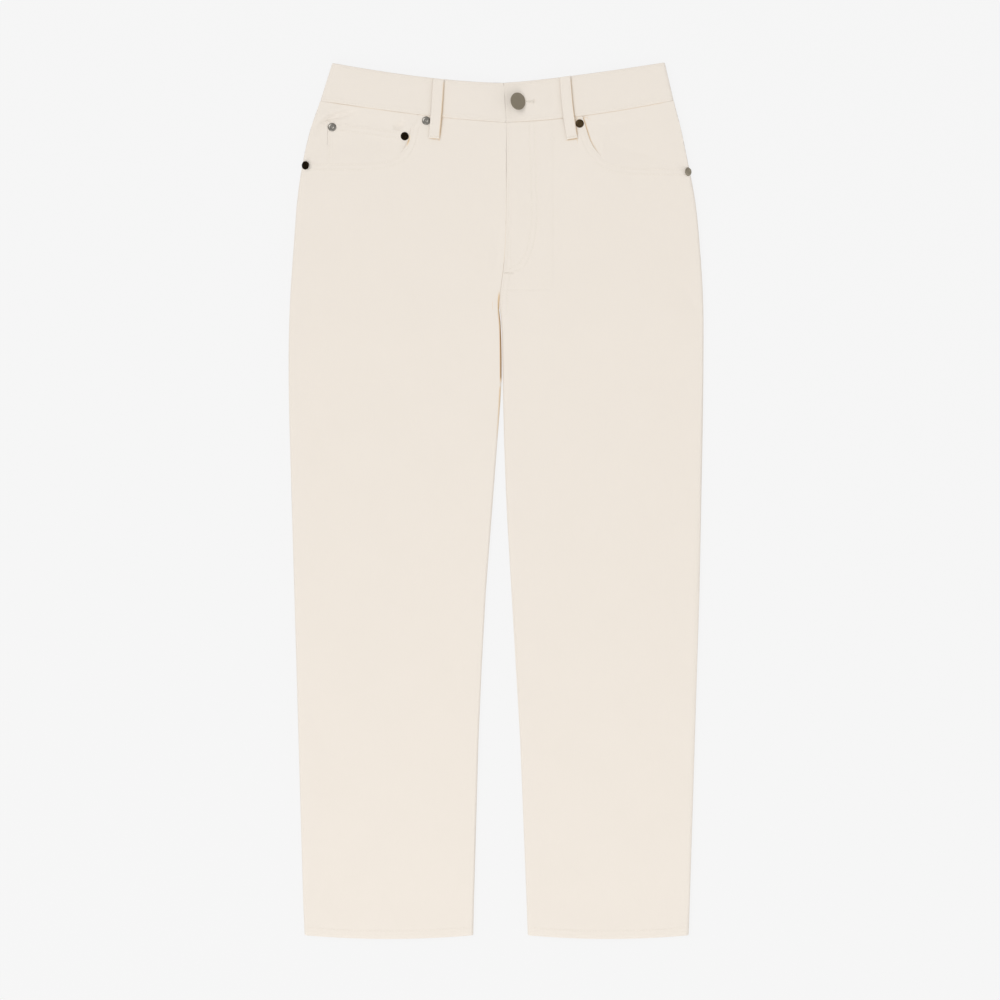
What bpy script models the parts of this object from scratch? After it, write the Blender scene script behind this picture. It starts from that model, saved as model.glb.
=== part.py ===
"""Five-pocket jeans of heavy ecru cotton, laid flat on their back with the front up.

Frame: +Y points to the waist, +Z up through the front, and the wearer's right leg is at -X.
The origin lies on the surface, under the middle of the jeans. Tables and sizes are in
millimetres, and every point is turned into metres when its mesh is made.

Each cloth piece is a wall between two grids of points, an outer and an inner face. A row of
a grid runs from the outer edge of a leg to its inner edge. At a seam where front and back
meet, the cloth turns through a quarter round, so that the two walls stand face to face.
"""

import math
from collections import namedtuple

import bmesh
import bpy

MM = 0.001

# Cloth and its layers, from the surface up
WALL = 1.1              # one layer of the cloth
BAND_WALL = 2.0         # the waistband, folded double
HEM_WALL = 2.2          # the turned-up hem
GAP = 0.3               # between pieces that meet at a seam or lie on each other
LOFT = 3.2              # air between the front and the back
LIFT = 1.6              # the seat rides on the back pockets and loops
LIFT_TOP = 196.0        # height y above which the seat is fully lifted
LIFT_FOOT = 132.0       # height y below which the legs lie on the surface
HEM_RISE = 0.8          # the folded hem holds the front up
HEM_HEIGHT = 10.0       # height of the turned-up hem
BAND_LOFT = 2.1         # air between the two waistbands
BAND_END_RISE = 0.5     # the buttoned end lies on the other end

# Side seams: height y, and the distance of each side seam from the middle
Side = namedtuple("Side", "height right left")
SIDE_SEAMS = (
    Side(436.0, 191.5, 193.8),
    Side(404.0, 202.5, 201.9),
    Side(371.0, 210.1, 208.8),
    Side(328.0, 216.6, 217.0),
    Side(284.0, 219.9, 221.6),
    Side(219.0, 224.4, 225.7),
    Side(150.0, 226.1, 226.1),
    Side(66.0, 224.8, 225.2),
    Side(-108.0, 219.8, 221.6),
    Side(-283.0, 214.5, 216.1),
    Side(-413.0, 211.1, 212.0),
    Side(-471.7, 208.7, 210.1),
)

# Inner leg seams: height y, and the x of each leg's inner edge
Inseam = namedtuple("Inseam", "height right left")
INSEAMS = (
    Inseam(224.0, 4.1, 4.7),
    Inseam(208.0, 3.4, 4.4),
    Inseam(196.0, 4.8, 5.8),
    Inseam(182.0, 5.6, 6.6),
    Inseam(131.0, 6.0, 7.4),
    Inseam(66.0, 1.6, 8.8),
    Inseam(-21.0, -5.2, 12.3),
    Inseam(-108.0, -11.7, 17.7),
    Inseam(-239.0, -18.3, 25.3),
    Inseam(-370.0, -22.6, 31.0),
    Inseam(-471.7, -24.8, 34.6),
)

# Centre front: height y and x of the fly's edge, which lies on the right front
Fly = namedtuple("Fly", "height x")
FLY_EDGE = (
    Fly(455.0, 8.6),
    Fly(413.0, 11.2),
    Fly(287.0, 10.9),
    Fly(261.0, 9.0),
    Fly(239.0, 6.2),
    Fly(224.0, 4.4),
)
FLY_UNDERLAP = 8.0      # the right front runs on under the fly
FLY_CLOSED = 262.0      # height y where the underlap ends
UNDERLAP_FADE = 19.0    # height over which it grows to its full width
FLY_DIP_START = 6.0     # this far before the fly's edge the right front begins to dip
FLY_DIP_WIDTH = 4.8
FLY_DIP_FOOT = 236.0    # height y where the dip ends
FLY_DIP_COLUMNS = (1.2, 3.6, 6.5)   # columns on the slope, from the underlap's start
BAND_UNDERLAP = 34.0    # the right waistband runs on under the buttoned end
BAND_DIP_START = 6.5    # this far before the fly's edge the right band begins to dip
BAND_DIP_WIDTH = 5.0
BAND_RISE_END = 62.0    # the buttoned end rises from this x
BAND_RISE_WIDTH = 16.0
BAND_COLUMNS = {        # columns from the inner edge on, clear of and along those slopes
    "right": (0.0, 17.0, 34.8, 37.5, 41.0),
    "left": (0.0, 18.0, 36.0, 52.0),
}
CENTRE_BACK_X = 1.2     # the back seam at the waist

CROTCH = 224.0
HEM = -473.5
HEM_DROP = 4.0          # the hem hangs lower in the middle of each leg

# Curved edges across the front: the lowest point in the middle, and each side's end
Sweep = namedtuple("Sweep", "middle low side_x side_y power")
WAIST_SEAM = {
    "right": Sweep(9.5, 412.4, -191.5, 435.6, 1.35),
    "left": Sweep(9.5, 412.4, 193.6, 436.2, 1.6),
}
TOP_EDGE = {
    "right": Sweep(7.5, 455.2, -178.4, 477.0, 1.58),
    "left": Sweep(7.5, 455.2, 183.9, 477.6, 1.25),
}

# Rows across a waistband: distance from the folded top edge, and how far the outer and the
# inner face draw together to round the fold and the seam
Spot = namedtuple("Spot", "distance outer_pinch inner_pinch")
BAND_SPOTS = (
    Spot(0.0, 0.7, 0.7),
    Spot(0.35, 0.25, 0.25),
    Spot(1.0, 0.0, 0.0),
    Spot(12.0, 0.0, 0.0),
    Spot(28.0, 0.0, 0.0),
    Spot(40.0, 0.0, 0.0),
    Spot(41.2, 0.5, 0.0),
)

# Front pocket mouths, from the waist seam round to the side seam
Mouth = namedtuple("Mouth", "x height")
POCKET_MOUTH = {
    "right": (
        Mouth(-84.7, 419.9),
        Mouth(-91.5, 409.5),
        Mouth(-94.4, 397.0),
        Mouth(-98.6, 385.6),
        Mouth(-106.5, 376.8),
        Mouth(-119.5, 371.4),
        Mouth(-150.0, 369.0),
        Mouth(-210.6, 369.2),
    ),
    "left": (
        Mouth(94.0, 419.4),
        Mouth(97.6, 407.5),
        Mouth(103.3, 390.6),
        Mouth(110.6, 379.6),
        Mouth(119.8, 371.0),
        Mouth(134.0, 365.8),
        Mouth(160.0, 363.9),
        Mouth(210.2, 363.4),
    ),
}
MOUTH_SHARE = 0.6       # share of a front's top edge that is the mouth; a column meets its end
MOUTH_COLUMNS = 20      # columns along the mouth, and from its corner to the fly
WAIST_COLUMNS = 5

# Pocket facings: how far they run on under the front
FACING_UNDER = 13.0
FACING_FLAT = 2.6       # beside the side seam a facing lies at the front's level
FACING_STEP = 6.0       # width over which it then sinks below that level
FACING_SEAM = 9.0       # beside the side seam the facing stops at the front's edge
FACING_ROWS = 7
FACING_COLUMNS = (0.0, 0.03, 0.06, 0.1, 0.15, 0.2, 0.3, 0.45, 0.6, 0.75, 0.9, 1.0)

# Watch pocket on the right facing: its two upper corners, and how far it reaches down
WATCH_CORNERS = ((-184.0, 413.6), (-86.0, 401.2))
WATCH_FOOT = 358.0
WATCH_ROWS = 4
WATCH_COLUMNS = 5
WATCH_CLEAR = 8.0       # the facing sinks this far outside the pocket
WATCH_STEP = 6.0        # width of that slope

# Back yokes and patch pockets
YOKE_ROWS = 3
YOKE_SIDE = 394.0       # height y of the yoke seam at the side seam
YOKE_CENTRE = 347.0     # and at the centre back
POCKET_TOP_WIDTH = 138.0
POCKET_FOOT_WIDTH = 118.0
POCKET_SIDE = 116.0     # from the top edge down to the lower corners
POCKET_DEPTH = 146.0    # from the top edge down to the point
POCKET_CENTRE = (106.0, 346.0)
POCKET_TILT = math.radians(5.0)
POCKET_EDGE = 0.35      # rounding of a pocket's edges

# Belt loops: width, and the centre line from the top edge down
LOOP_WIDTH = 11.6
LOOP_WALL = 2.0
LOOP_BACK_WALL = LIFT - GAP
LOOP_ARCH = 0.4         # a loop's middle stands this much higher than its ends
LOOP_PINCH = 0.4        # rounding of its edges
LOOP_LENGTHS = (0.0, 0.02, 0.25, 0.5, 0.64, 0.75, 0.86, 0.98, 1.0)
LOOP_ACROSS = ((-0.5, LOOP_PINCH), (-0.46, 0.0), (0.46, 0.0), (0.5, LOOP_PINCH))
LOOP_STEP_CLEAR = 1.0   # below the waist seam a loop steps down from band to panel
LOOP_STEP_WIDTH = 12.0
LOOP_FRONT = {
    "right": ((-62.6, 459.6), (-64.6, 428.0), (-67.5, 394.6)),
    "left": ((75.2, 462.0), (78.1, 428.0), (83.0, 394.4)),
}
LOOP_SLOPE = {"right": -0.12, "left": 0.15}     # of a front loop's two ends
LOOP_BACK_X = {"right": -118.0, "centre": 1.2, "left": 118.0}
LOOP_BELOW_SEAM = 21.0
LOOP_BACK_TOP = 0.5     # a back loop starts this far below the top edge

# Metal: rings of the turned pieces, from the top down
Ring = namedtuple("Ring", "radius height")
BUTTON_RINGS = (
    Ring(0.0, 8.5),
    Ring(8.0, 8.75),
    Ring(9.1, 8.6),
    Ring(9.5, 8.2),
    Ring(9.5, 7.9),
    Ring(8.9, 7.6),
    Ring(3.6, 7.4),
    Ring(2.2, 6.6),
    Ring(2.2, 0.0),
    Ring(0.0, 0.0),
)
BUTTON_SIDES = 28
BUTTON_NECK = 2.2
BUTTON_LEAN = math.radians(34.0)
BUTTON_TURN = math.radians(9.0)     # the way it leans, from +X towards the waist
BUTTON_FOOT = (19.4, 434.1)
BUTTONHOLE = (17.8, 40.6, 434.9)    # ends in x, and height y
BUTTONHOLE_WIDTH = 1.2
BUTTONHOLE_EYE = 3.4
EYE_INSET = 2.2         # from the buttonhole's end to the middle of its eye
EYE_SIDES = 16
CUTTER_DEPTH = 8.0
RIVET_RINGS = (
    Ring(0.0, 1.3),
    Ring(0.8, 1.2),
    Ring(1.3, 0.8),
    Ring(2.9, 0.85),
    Ring(3.7, 1.25),
    Ring(4.4, 0.9),
    Ring(4.6, 0.4),
    Ring(4.6, 0.0),
    Ring(0.0, 0.0),
)
RIVET_SIDES = 14

# Rivets: name, x, height y, how far each leans over the side seam, and the piece it holds
Rivet = namedtuple("Rivet", "name x height lean on")
RIVETS = (
    Rivet("rivet_right_waist", -76.1, 414.1, 0.0, "front"),
    Rivet("rivet_right_side", -207.8, 365.4, -29.0, "front"),
    Rivet("rivet_left_waist", 91.2, 411.0, 0.0, "front"),
    Rivet("rivet_left_side", 209.6, 358.4, 39.0, "front"),
    Rivet("rivet_watch_outer", -178.6, 407.2, 0.0, "watch"),
    Rivet("rivet_watch_inner", -99.7, 397.3, 0.0, "watch"),
)

# Grid rows of a leg: shares of the way down to JOIN, then heights y
JOIN = 300.0
UPPER_ROWS = (0.0, 0.1, 0.26, 0.46, 0.72, 1.0)
LEG_ROWS = (281.0, 262.0, 240.0, 224.0, 208.0, 196.0, 178.0, 156.0, 132.0, 110.0, 88.0,
            66.0, 40.0, 10.0, -20.0, -60.0, -100.0, -140.0, -180.0, -220.0, -260.0, -300.0,
            -340.0, -375.0, -410.0, -435.0)
HEM_EDGE = 0.9          # width of the rounded lower edge
HEM_SHAPE_REACH = 130.0 # the hem's curve fades out over this height
TURN_STEPS = 3          # columns in the quarter round of a side seam
PANEL_COLUMNS = 8       # columns across a back panel, a yoke and half a waistband
FLAT_EDGE = (0.0, 1.0, 2.0, 3.0)    # their distances from an edge that lies flat
TURN_REACH = 22.0       # below the crotch the inner seam turns over this height

# Colours: linear values of the cloth and the metal
CLOTH_COLOUR = (0.855, 0.791, 0.708, 1.0)
METAL_COLOUR = (0.33, 0.31, 0.27, 1.0)

# One row of a grid: its two end points, the share of the top and hem curves that it takes
# on, the wall there, and how far the outer and the inner face draw together
Row = namedtuple("Row", "outer inner top_share hem_share wall outer_pinch inner_pinch")


# --- curves and levels -----------------------------------------------------------------

def between(start, end, share):
    return start + (end - start) * share


def ease(share):
    """0 below 0, 1 above 1 and smooth between them."""
    share = min(max(share, 0.0), 1.0)
    return share * share * (3.0 - 2.0 * share)


def hermite(start, end, slope_start, slope_end, width, share):
    """Cubic between two values with the given slopes."""
    square = share * share
    cube = square * share
    return ((2 * cube - 3 * square + 1) * start + (3 * square - 2 * cube) * end
            + (cube - 2 * square + share) * width * slope_start
            + (cube - square) * width * slope_end)


def smooth_through(keys, values, key):
    """Value at a key on a smooth curve through rising keys and their values."""
    last = len(keys) - 1
    slopes = []
    for index in range(last + 1):
        low = max(index - 1, 0)
        high = min(index + 1, last)
        slopes.append((values[high] - values[low]) / (keys[high] - keys[low]))
    index = 0
    while index < last - 1 and key > keys[index + 1]:
        index += 1
    width = keys[index + 1] - keys[index]
    share = (key - keys[index]) / width
    return hermite(values[index], values[index + 1], slopes[index], slopes[index + 1], width, share)


def table_value(table, column, height):
    """Column of a table at a height y; the tables run from the waist down."""
    keys = [-row.height for row in table]
    values = [getattr(row, column) for row in table]
    return smooth_through(keys, values, -height)


def point_along(points, share):
    """Point at a share of the length of a smooth curve through the points."""
    lengths = [0.0]
    for first, second in zip(points, points[1:]):
        lengths.append(lengths[-1] + math.dist(first, second))
    key = lengths[-1] * share
    return tuple(smooth_through(lengths, [point[axis] for point in points], key) for axis in (0, 1))


def sweep_height(sweeps, x):
    """Height y of a curved edge across the front at x."""
    sweep = sweeps["right"] if x < sweeps["right"].middle else sweeps["left"]
    share = abs(x - sweep.middle) / abs(sweep.side_x - sweep.middle)
    return sweep.low + (sweep.side_y - sweep.low) * share ** sweep.power


def side_x(side, height):
    """x of a side seam; the wearer's right is negative."""
    sign = -1.0 if side == "right" else 1.0
    return sign * table_value(SIDE_SEAMS, side, height)


def fly_x(height):
    return table_value(FLY_EDGE, "x", height)


def lift(height):
    """The back's underside above the surface."""
    return LIFT * ease((height - LIFT_FOOT) / (LIFT_TOP - LIFT_FOOT))


def front_top(height):
    """Level of the front panels' outer face."""
    hem = HEM_RISE * ease((HEM + 2.5 * HEM_HEIGHT - height) / (1.5 * HEM_HEIGHT))
    return lift(height) + 2.0 * WALL + LOFT + hem


def seam_level(height):
    """Level where the front and the back meet at a side seam."""
    return 0.5 * (front_top(height) + lift(height))


BAND_TOP = LIFT + 2.0 * BAND_WALL + BAND_LOFT
BAND_SEAM_LEVEL = 0.5 * (BAND_TOP + LIFT)
FACING_DROP = WALL + GAP
BAND_UNDERLAP_DROP = BAND_WALL + GAP - BAND_END_RISE


# --- walls of cloth --------------------------------------------------------------------

def face_points(rows, shares, near_inner, top_curve, hem_curve, level, turn, depth_share, sink):
    """Points of one face of a wall, row by row.

    rows: Row tuples. shares: columns between the near-edge ones. near_inner(row): distances
    from the inner edge where it lies flat. level(x, y) gives the outer face, the level of
    the seam and +1 on the front or -1 on the back. turn(row) tells how far the outer and the
    inner edge turn, from 0 to 1. depth_share is 0 on the outer face and 1 on the inner.
    sink(x, y) lowers the wall towards the middle of the jeans.
    """
    grid = []
    for row in rows:
        inward = 1.0 if row.inner[0] > row.outer[0] else -1.0
        width = abs(row.inner[0] - row.outer[0])
        outer_turn, inner_turn = turn(row)
        near = near_inner(row)
        depth = row.wall - row.inner_pinch if depth_share else row.outer_pinch

        def column(edge, distance, angle, edge_angle):
            """A point near an edge, on a quarter round that reaches edge_angle."""
            surface, seam, up = level(edge[0], edge[1])
            radius = up * (surface - seam) - 0.5 * GAP
            inset = radius * (math.sin(edge_angle) - math.sin(angle)) + depth * math.sin(angle)
            drop = radius * (1.0 - math.cos(angle)) + depth * math.cos(angle)
            return inset + distance, drop

        def place(share, inset_x, drop):
            """A point of the row, bent to the top and the hem, at its level."""
            x = between(row.outer[0], row.inner[0], share)
            y = between(row.outer[1], row.inner[1], share)
            if row.top_share:
                first = rows[0]
                bend = top_curve(share)
                x += row.top_share * (bend[0] - between(first.outer[0], first.inner[0], share))
                y += row.top_share * (bend[1] - between(first.outer[1], first.inner[1], share))
            if row.hem_share:
                y += row.hem_share * hem_curve(share, x)
            x += inset_x
            surface, _seam, up = level(x, y)
            return (x, y, surface - up * (drop + sink(x, y)))

        line = []
        edge_angle = outer_turn * math.pi / 2
        for step in range(TURN_STEPS):
            angle = edge_angle * (1.0 - step / TURN_STEPS)
            distance = FLAT_EDGE[step] * (1.0 - outer_turn)
            inset, drop = column(row.outer, distance, angle, edge_angle)
            line.append(place(inset / width, 0.0, drop))
        outer_end = column(row.outer, FLAT_EDGE[-1] * (1.0 - outer_turn), 0.0, edge_angle)[0]
        edge_angle = inner_turn * math.pi / 2
        steps = len(near) - 1
        inner_end = column(row.inner, near[-1] * (1.0 - inner_turn), 0.0, edge_angle)[0]
        start = outer_end / width
        end = 1.0 - inner_end / width
        for share in shares:
            line.append(place(between(start, end, share), 0.0, depth))
        for step in reversed(range(steps)):
            angle = edge_angle * (1.0 - step / steps)
            distance = near[step] * (1.0 - inner_turn)
            inset, drop = column(row.inner, distance, angle, edge_angle)
            line.append(place(1.0 - inset / width, 0.0, drop))
        grid.append(line)
    return grid


def wall_object(name, outer, inner, collection, material):
    """Close the space between two grids of points into one body."""
    rows = len(outer)
    columns = len(outer[0])
    mesh = bpy.data.meshes.new(name)
    body = bmesh.new()
    faces = []
    for grid in (outer, inner):
        faces.append([[body.verts.new([value * MM for value in point]) for point in line]
                      for line in grid])
    for grid in faces:
        for row in range(rows - 1):
            for column in range(columns - 1):
                body.faces.new((grid[row][column], grid[row + 1][column],
                                grid[row + 1][column + 1], grid[row][column + 1]))
    rim = [(row, 0) for row in range(rows)]
    rim += [(rows - 1, column) for column in range(1, columns)]
    rim += [(row, columns - 1) for row in range(rows - 2, -1, -1)]
    rim += [(0, column) for column in range(columns - 2, 0, -1)]
    for (row, column), (next_row, next_column) in zip(rim, rim[1:] + rim[:1]):
        body.faces.new((faces[0][row][column], faces[0][next_row][next_column],
                        faces[1][next_row][next_column], faces[1][row][column]))
    bmesh.ops.recalc_face_normals(body, faces=body.faces)
    body.to_mesh(mesh)
    body.free()
    mesh.shade_smooth()
    mesh.set_sharp_from_angle(angle=math.radians(40.0))
    piece = bpy.data.objects.new(name, mesh)
    piece.data.materials.append(material)
    collection.objects.link(piece)
    return piece


def cloth_wall(name, rows, shares, near_inner, top_curve, hem_curve, level, turn, sink, home):
    """Make a cloth piece from the description of its rows and columns."""
    grids = [face_points(rows, shares, near_inner, top_curve, hem_curve, level, turn, depth, sink)
             for depth in (0.0, 1.0)]
    return wall_object(name, grids[0], grids[1], home, cloth_material(name))


def no_sink(_x, _y):
    return 0.0


def flat_edge(_row):
    return FLAT_EDGE


def even_shares(count):
    return [index / count for index in range(count + 1)]


def leg_rows(outer_top, inner_top, outer_edge, inner_edge):
    """Rows of a leg panel from its top edge down to the hem.

    outer_edge(y) and inner_edge(y) give the x of the two edges.
    """
    rows = []
    for share in UPPER_ROWS:
        ends = [(edge(between(top, JOIN, share)), between(top, JOIN, share))
                for edge, top in ((outer_edge, outer_top), (inner_edge, inner_top))]
        rows.append(Row(ends[0], ends[1], (1.0 - share) ** 1.5, 0.0, WALL, 0.0, 0.0))
    hem_rows = [(height, WALL, 0.0) for height in LEG_ROWS]
    hem_rows.append((HEM + HEM_HEIGHT + 3.0, WALL, 0.0))
    hem_rows.append((HEM + HEM_HEIGHT, HEM_WALL, 0.0))
    hem_rows.append((HEM + HEM_EDGE, HEM_WALL, 0.0))
    hem_rows.append((HEM, HEM_WALL, 0.3 * HEM_WALL))
    for height, wall, pinch in hem_rows:
        hem_share = max(0.0, 1.0 - (height - HEM) / HEM_SHAPE_REACH) ** 2
        ends = [(edge(height), height) for edge in (outer_edge, inner_edge)]
        rows.append(Row(ends[0], ends[1], 0.0, hem_share, wall, pinch, pinch))
    return rows


def hem_bow(share, _x):
    """The hem hangs lower in the middle of the leg."""
    return -HEM_DROP * (1.0 - (2.0 * share - 1.0) ** 2)


def leg_turn(row):
    """The side seam turns all the way; the inner edge only below the crotch."""
    return 1.0, ease((CROTCH - row.inner[1]) / TURN_REACH)


def front_level(_x, y):
    return front_top(y), seam_level(y), 1.0


def back_level(_x, y):
    return lift(y), seam_level(y), -1.0


# --- leg panels ------------------------------------------------------------------------

def make_front(side, home):
    """A front leg panel, cut away at the pocket mouth."""
    mouth = POCKET_MOUTH[side]
    corner = mouth[0]

    def underlap(height):
        return FLY_UNDERLAP * ease((height - FLY_CLOSED) / UNDERLAP_FADE)

    def near_fly(row):
        """Columns of the right front: two under the fly, and the slope that dips to it."""
        under = underlap(row.inner[1])
        return (0.0, 0.5 * under + 0.5) + tuple(under + step for step in FLY_DIP_COLUMNS)

    def inner_edge(height):
        if height < CROTCH:
            return table_value(INSEAMS, side, height)
        if side == "left":
            return fly_x(height) + 0.5 * GAP
        return fly_x(height) - 0.5 * GAP + underlap(height)

    def top_curve(share):
        if share < MOUTH_SHARE:
            return point_along(mouth, 1.0 - share / MOUTH_SHARE)
        past_corner = (share - MOUTH_SHARE) / (1.0 - MOUTH_SHARE)
        x = between(corner.x, inner_edge(WAIST_SEAM[side].low), past_corner)
        return x, sweep_height(WAIST_SEAM, x) - 0.5 * GAP

    def sink(x, y):
        """The right front dips under the fly."""
        if side == "left" or y < CROTCH:
            return 0.0
        across = ease((x - fly_x(y) + FLY_DIP_START) / FLY_DIP_WIDTH)
        up = ease((y - FLY_DIP_FOOT) / (FLY_CLOSED - FLY_DIP_FOOT))
        return (WALL + GAP) * across * up

    near_inner = near_fly if side == "right" else flat_edge
    rows = leg_rows(mouth[-1].height, top_curve(1.0)[1], lambda y: side_x(side, y), inner_edge)
    top = rows[0]
    width = abs(top.inner[0] - top.outer[0])
    start = (front_top(top.outer[1]) - seam_level(top.outer[1]) - 0.5 * GAP) / width
    end = 1.0 - near_inner(top)[-1] / width
    corner_share = (MOUTH_SHARE - start) / (end - start)
    shares = [corner_share * share for share in even_shares(MOUTH_COLUMNS)]
    shares += [between(corner_share, 1.0, share) for share in even_shares(WAIST_COLUMNS)[1:]]
    return cloth_wall("front_" + side, rows, shares, near_inner, top_curve, hem_bow,
                      front_level, leg_turn, sink, home)


def centre_back_x(height):
    """x of the centre back seam, from the crotch up to the waist."""
    share = (height - CROTCH) / (WAIST_SEAM["left"].low - CROTCH)
    return between(FLY_EDGE[-1].x, CENTRE_BACK_X, share)


def yoke_seam(side, share):
    """Point of the seam between the yoke and the back, from the side seam in."""
    outer = side_x(side, YOKE_SIDE)
    return between(outer, centre_back_x(YOKE_CENTRE), share), between(YOKE_SIDE, YOKE_CENTRE, share)


def back_inner_edge(side, height):
    if height < CROTCH:
        return table_value(INSEAMS, side, height)
    return centre_back_x(height) + (0.5 * GAP if side == "left" else -0.5 * GAP)


def make_back(side, home):
    """A back leg panel, under the yoke."""
    def top_curve(share):
        x, y = yoke_seam(side, share)
        return x, y - 0.5 * GAP

    rows = leg_rows(top_curve(0.0)[1], top_curve(1.0)[1], lambda y: side_x(side, y),
                    lambda y: back_inner_edge(side, y))
    return cloth_wall("back_" + side, rows, even_shares(PANEL_COLUMNS), flat_edge, top_curve,
                      hem_bow, back_level, leg_turn, no_sink, home)


# --- pieces round the waist ------------------------------------------------------------

def short_rows(count, outer_ends, inner_ends, wall, side=None):
    """Rows of a short piece between its ends; its outer edge may follow a side seam."""
    rows = []
    for share in even_shares(count):
        outer = tuple(between(first, last, share) for first, last in zip(*outer_ends))
        if side:
            outer = (side_x(side, outer[1]), outer[1])
        inner = tuple(between(first, last, share) for first, last in zip(*inner_ends))
        rows.append(Row(outer, inner, 1.0 - share, share, wall, 0.0, 0.0))
    return rows


def lower_bend(curve, ends):
    """How far a lower edge lies from the straight line between its ends."""
    def bend(share, _x):
        return curve(share)[1] - between(ends[0][1], ends[1][1], share)
    return bend


def make_yoke(side, home):
    """A back yoke between the waistband and the back panel."""
    outer_x = side_x(side, WAIST_SEAM[side].side_y)

    def waist(share):
        x = between(outer_x, back_inner_edge(side, WAIST_SEAM[side].low), share)
        return x, sweep_height(WAIST_SEAM, x) - 0.5 * GAP

    def seam(share):
        x, y = yoke_seam(side, share)
        return x, y + 0.5 * GAP

    inner_foot = (back_inner_edge(side, YOKE_CENTRE), seam(1.0)[1])
    outer_ends = (waist(0.0), (side_x(side, seam(0.0)[1]), seam(0.0)[1]))
    rows = short_rows(YOKE_ROWS, outer_ends, (waist(1.0), inner_foot), WALL, side)
    return cloth_wall("yoke_" + side, rows, even_shares(PANEL_COLUMNS), flat_edge, waist,
                      lower_bend(seam, (outer_ends[1], inner_foot)), back_level,
                      lambda _row: (1.0, 0.0), no_sink, home)


def watch_zone(x, y):
    """1 under the watch pocket, where the facing lies deeper, and 0 clear of it."""
    start, end = WATCH_CORNERS
    top = between(start[1], end[1], (x - start[0]) / (end[0] - start[0]))
    across = ease((x - start[0] + WATCH_CLEAR) / WATCH_STEP)
    return across * ease((top + WATCH_CLEAR - y) / WATCH_STEP)


def make_facing(side, home):
    """The pocket facing that shows inside a pocket mouth and runs on under the front."""
    mouth = POCKET_MOUTH[side]
    inward = 1.0 if side == "right" else -1.0
    corner_x = mouth[0].x + inward * FACING_UNDER
    foot = min(point.height for point in mouth) - FACING_UNDER
    outer_x = side_x(side, WAIST_SEAM[side].side_y)
    edge_height = mouth[-1].height + GAP

    def waist(share):
        x = between(outer_x, corner_x, share)
        return x, sweep_height(WAIST_SEAM, x) - 0.5 * GAP

    def lower(share, x):
        """Beside the side seam the facing stops at the mouth; further in it runs under."""
        distance = abs(x - side_x(side, edge_height)) - FACING_SEAM
        height = between(edge_height, foot, ease(distance / FACING_UNDER))
        return height - between(edge_height, foot, share)

    def sink(x, y):
        distance = abs(x - side_x(side, y)) - FACING_FLAT
        depth = FACING_DROP * ease(distance / FACING_STEP)
        if side == "right":
            depth += FACING_DROP * watch_zone(x, y)
        return depth

    outer_ends = (waist(0.0), (side_x(side, edge_height), edge_height))
    inner_ends = (waist(1.0), (corner_x, foot))
    rows = short_rows(FACING_ROWS, outer_ends, inner_ends, WALL, side)
    return cloth_wall("facing_" + side, rows, FACING_COLUMNS, lambda _row: (0.0, 1.0), waist,
                      lower, front_level, lambda _row: (1.0, 0.0), sink, home)


def make_watch_pocket(home):
    """The small pocket on the right facing; the front covers its lower part."""
    start, end = WATCH_CORNERS

    def upper(share):
        return between(start[0], end[0], share), between(start[1], end[1], share)

    feet = ((start[0], WATCH_FOOT), (end[0], WATCH_FOOT))
    rows = short_rows(WATCH_ROWS, (start, feet[0]), (end, feet[1]), WALL)
    return cloth_wall("watch_pocket", rows, even_shares(WATCH_COLUMNS), lambda _row: (0.0, 1.0), upper,
                      lambda _share, _x: 0.0, front_level, lambda _row: (0.0, 0.0),
                      lambda _x, _y: FACING_DROP, home)


def band_rows(side_name, inner_edge):
    """Rows of a waistband half, from the folded top edge to the waist seam."""
    sweep_top = TOP_EDGE[side_name]
    sweep_seam = WAIST_SEAM[side_name]
    rows = []
    for spot in BAND_SPOTS:
        share = spot.distance / BAND_SPOTS[-1].distance
        outer = (between(sweep_top.side_x, sweep_seam.side_x, share),
                 between(sweep_top.side_y, sweep_seam.side_y + 0.5 * GAP, share))
        height = between(sweep_top.low, sweep_seam.low + 0.5 * GAP, share)
        rows.append(Row(outer, (inner_edge(height), height), 1.0 - share, share, BAND_WALL,
                        spot.outer_pinch, spot.inner_pinch))
    return rows


def band_curves(rows):
    """Top edge and waist seam as bends of a band's first and last row."""
    first, last = rows[0], rows[-1]

    def top(share):
        x = between(first.outer[0], first.inner[0], share)
        return x, sweep_height(TOP_EDGE, x)

    def seam(share, _x):
        x = between(last.outer[0], last.inner[0], share)
        return (sweep_height(WAIST_SEAM, x) + 0.5 * GAP
                - between(last.outer[1], last.inner[1], share))

    return top, seam


def make_front_band(side, home):
    """A front half of the waistband; the left end is buttoned over the right one."""
    def inner_edge(height):
        edge = fly_x(height)
        return edge + BAND_UNDERLAP if side == "right" else edge

    def sink(x, y):
        if side == "right":
            return BAND_UNDERLAP_DROP * ease((x - fly_x(y) + BAND_DIP_START) / BAND_DIP_WIDTH)
        return -BAND_END_RISE * ease((BAND_RISE_END - x) / BAND_RISE_WIDTH)

    rows = band_rows(side, inner_edge)
    top, seam = band_curves(rows)
    return cloth_wall("waistband_" + side, rows, even_shares(PANEL_COLUMNS),
                      lambda _row: BAND_COLUMNS[side], top, seam,
                      lambda _x, _y: (BAND_TOP, BAND_SEAM_LEVEL, 1.0),
                      lambda _row: (1.0, 0.0), sink, home)


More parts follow.
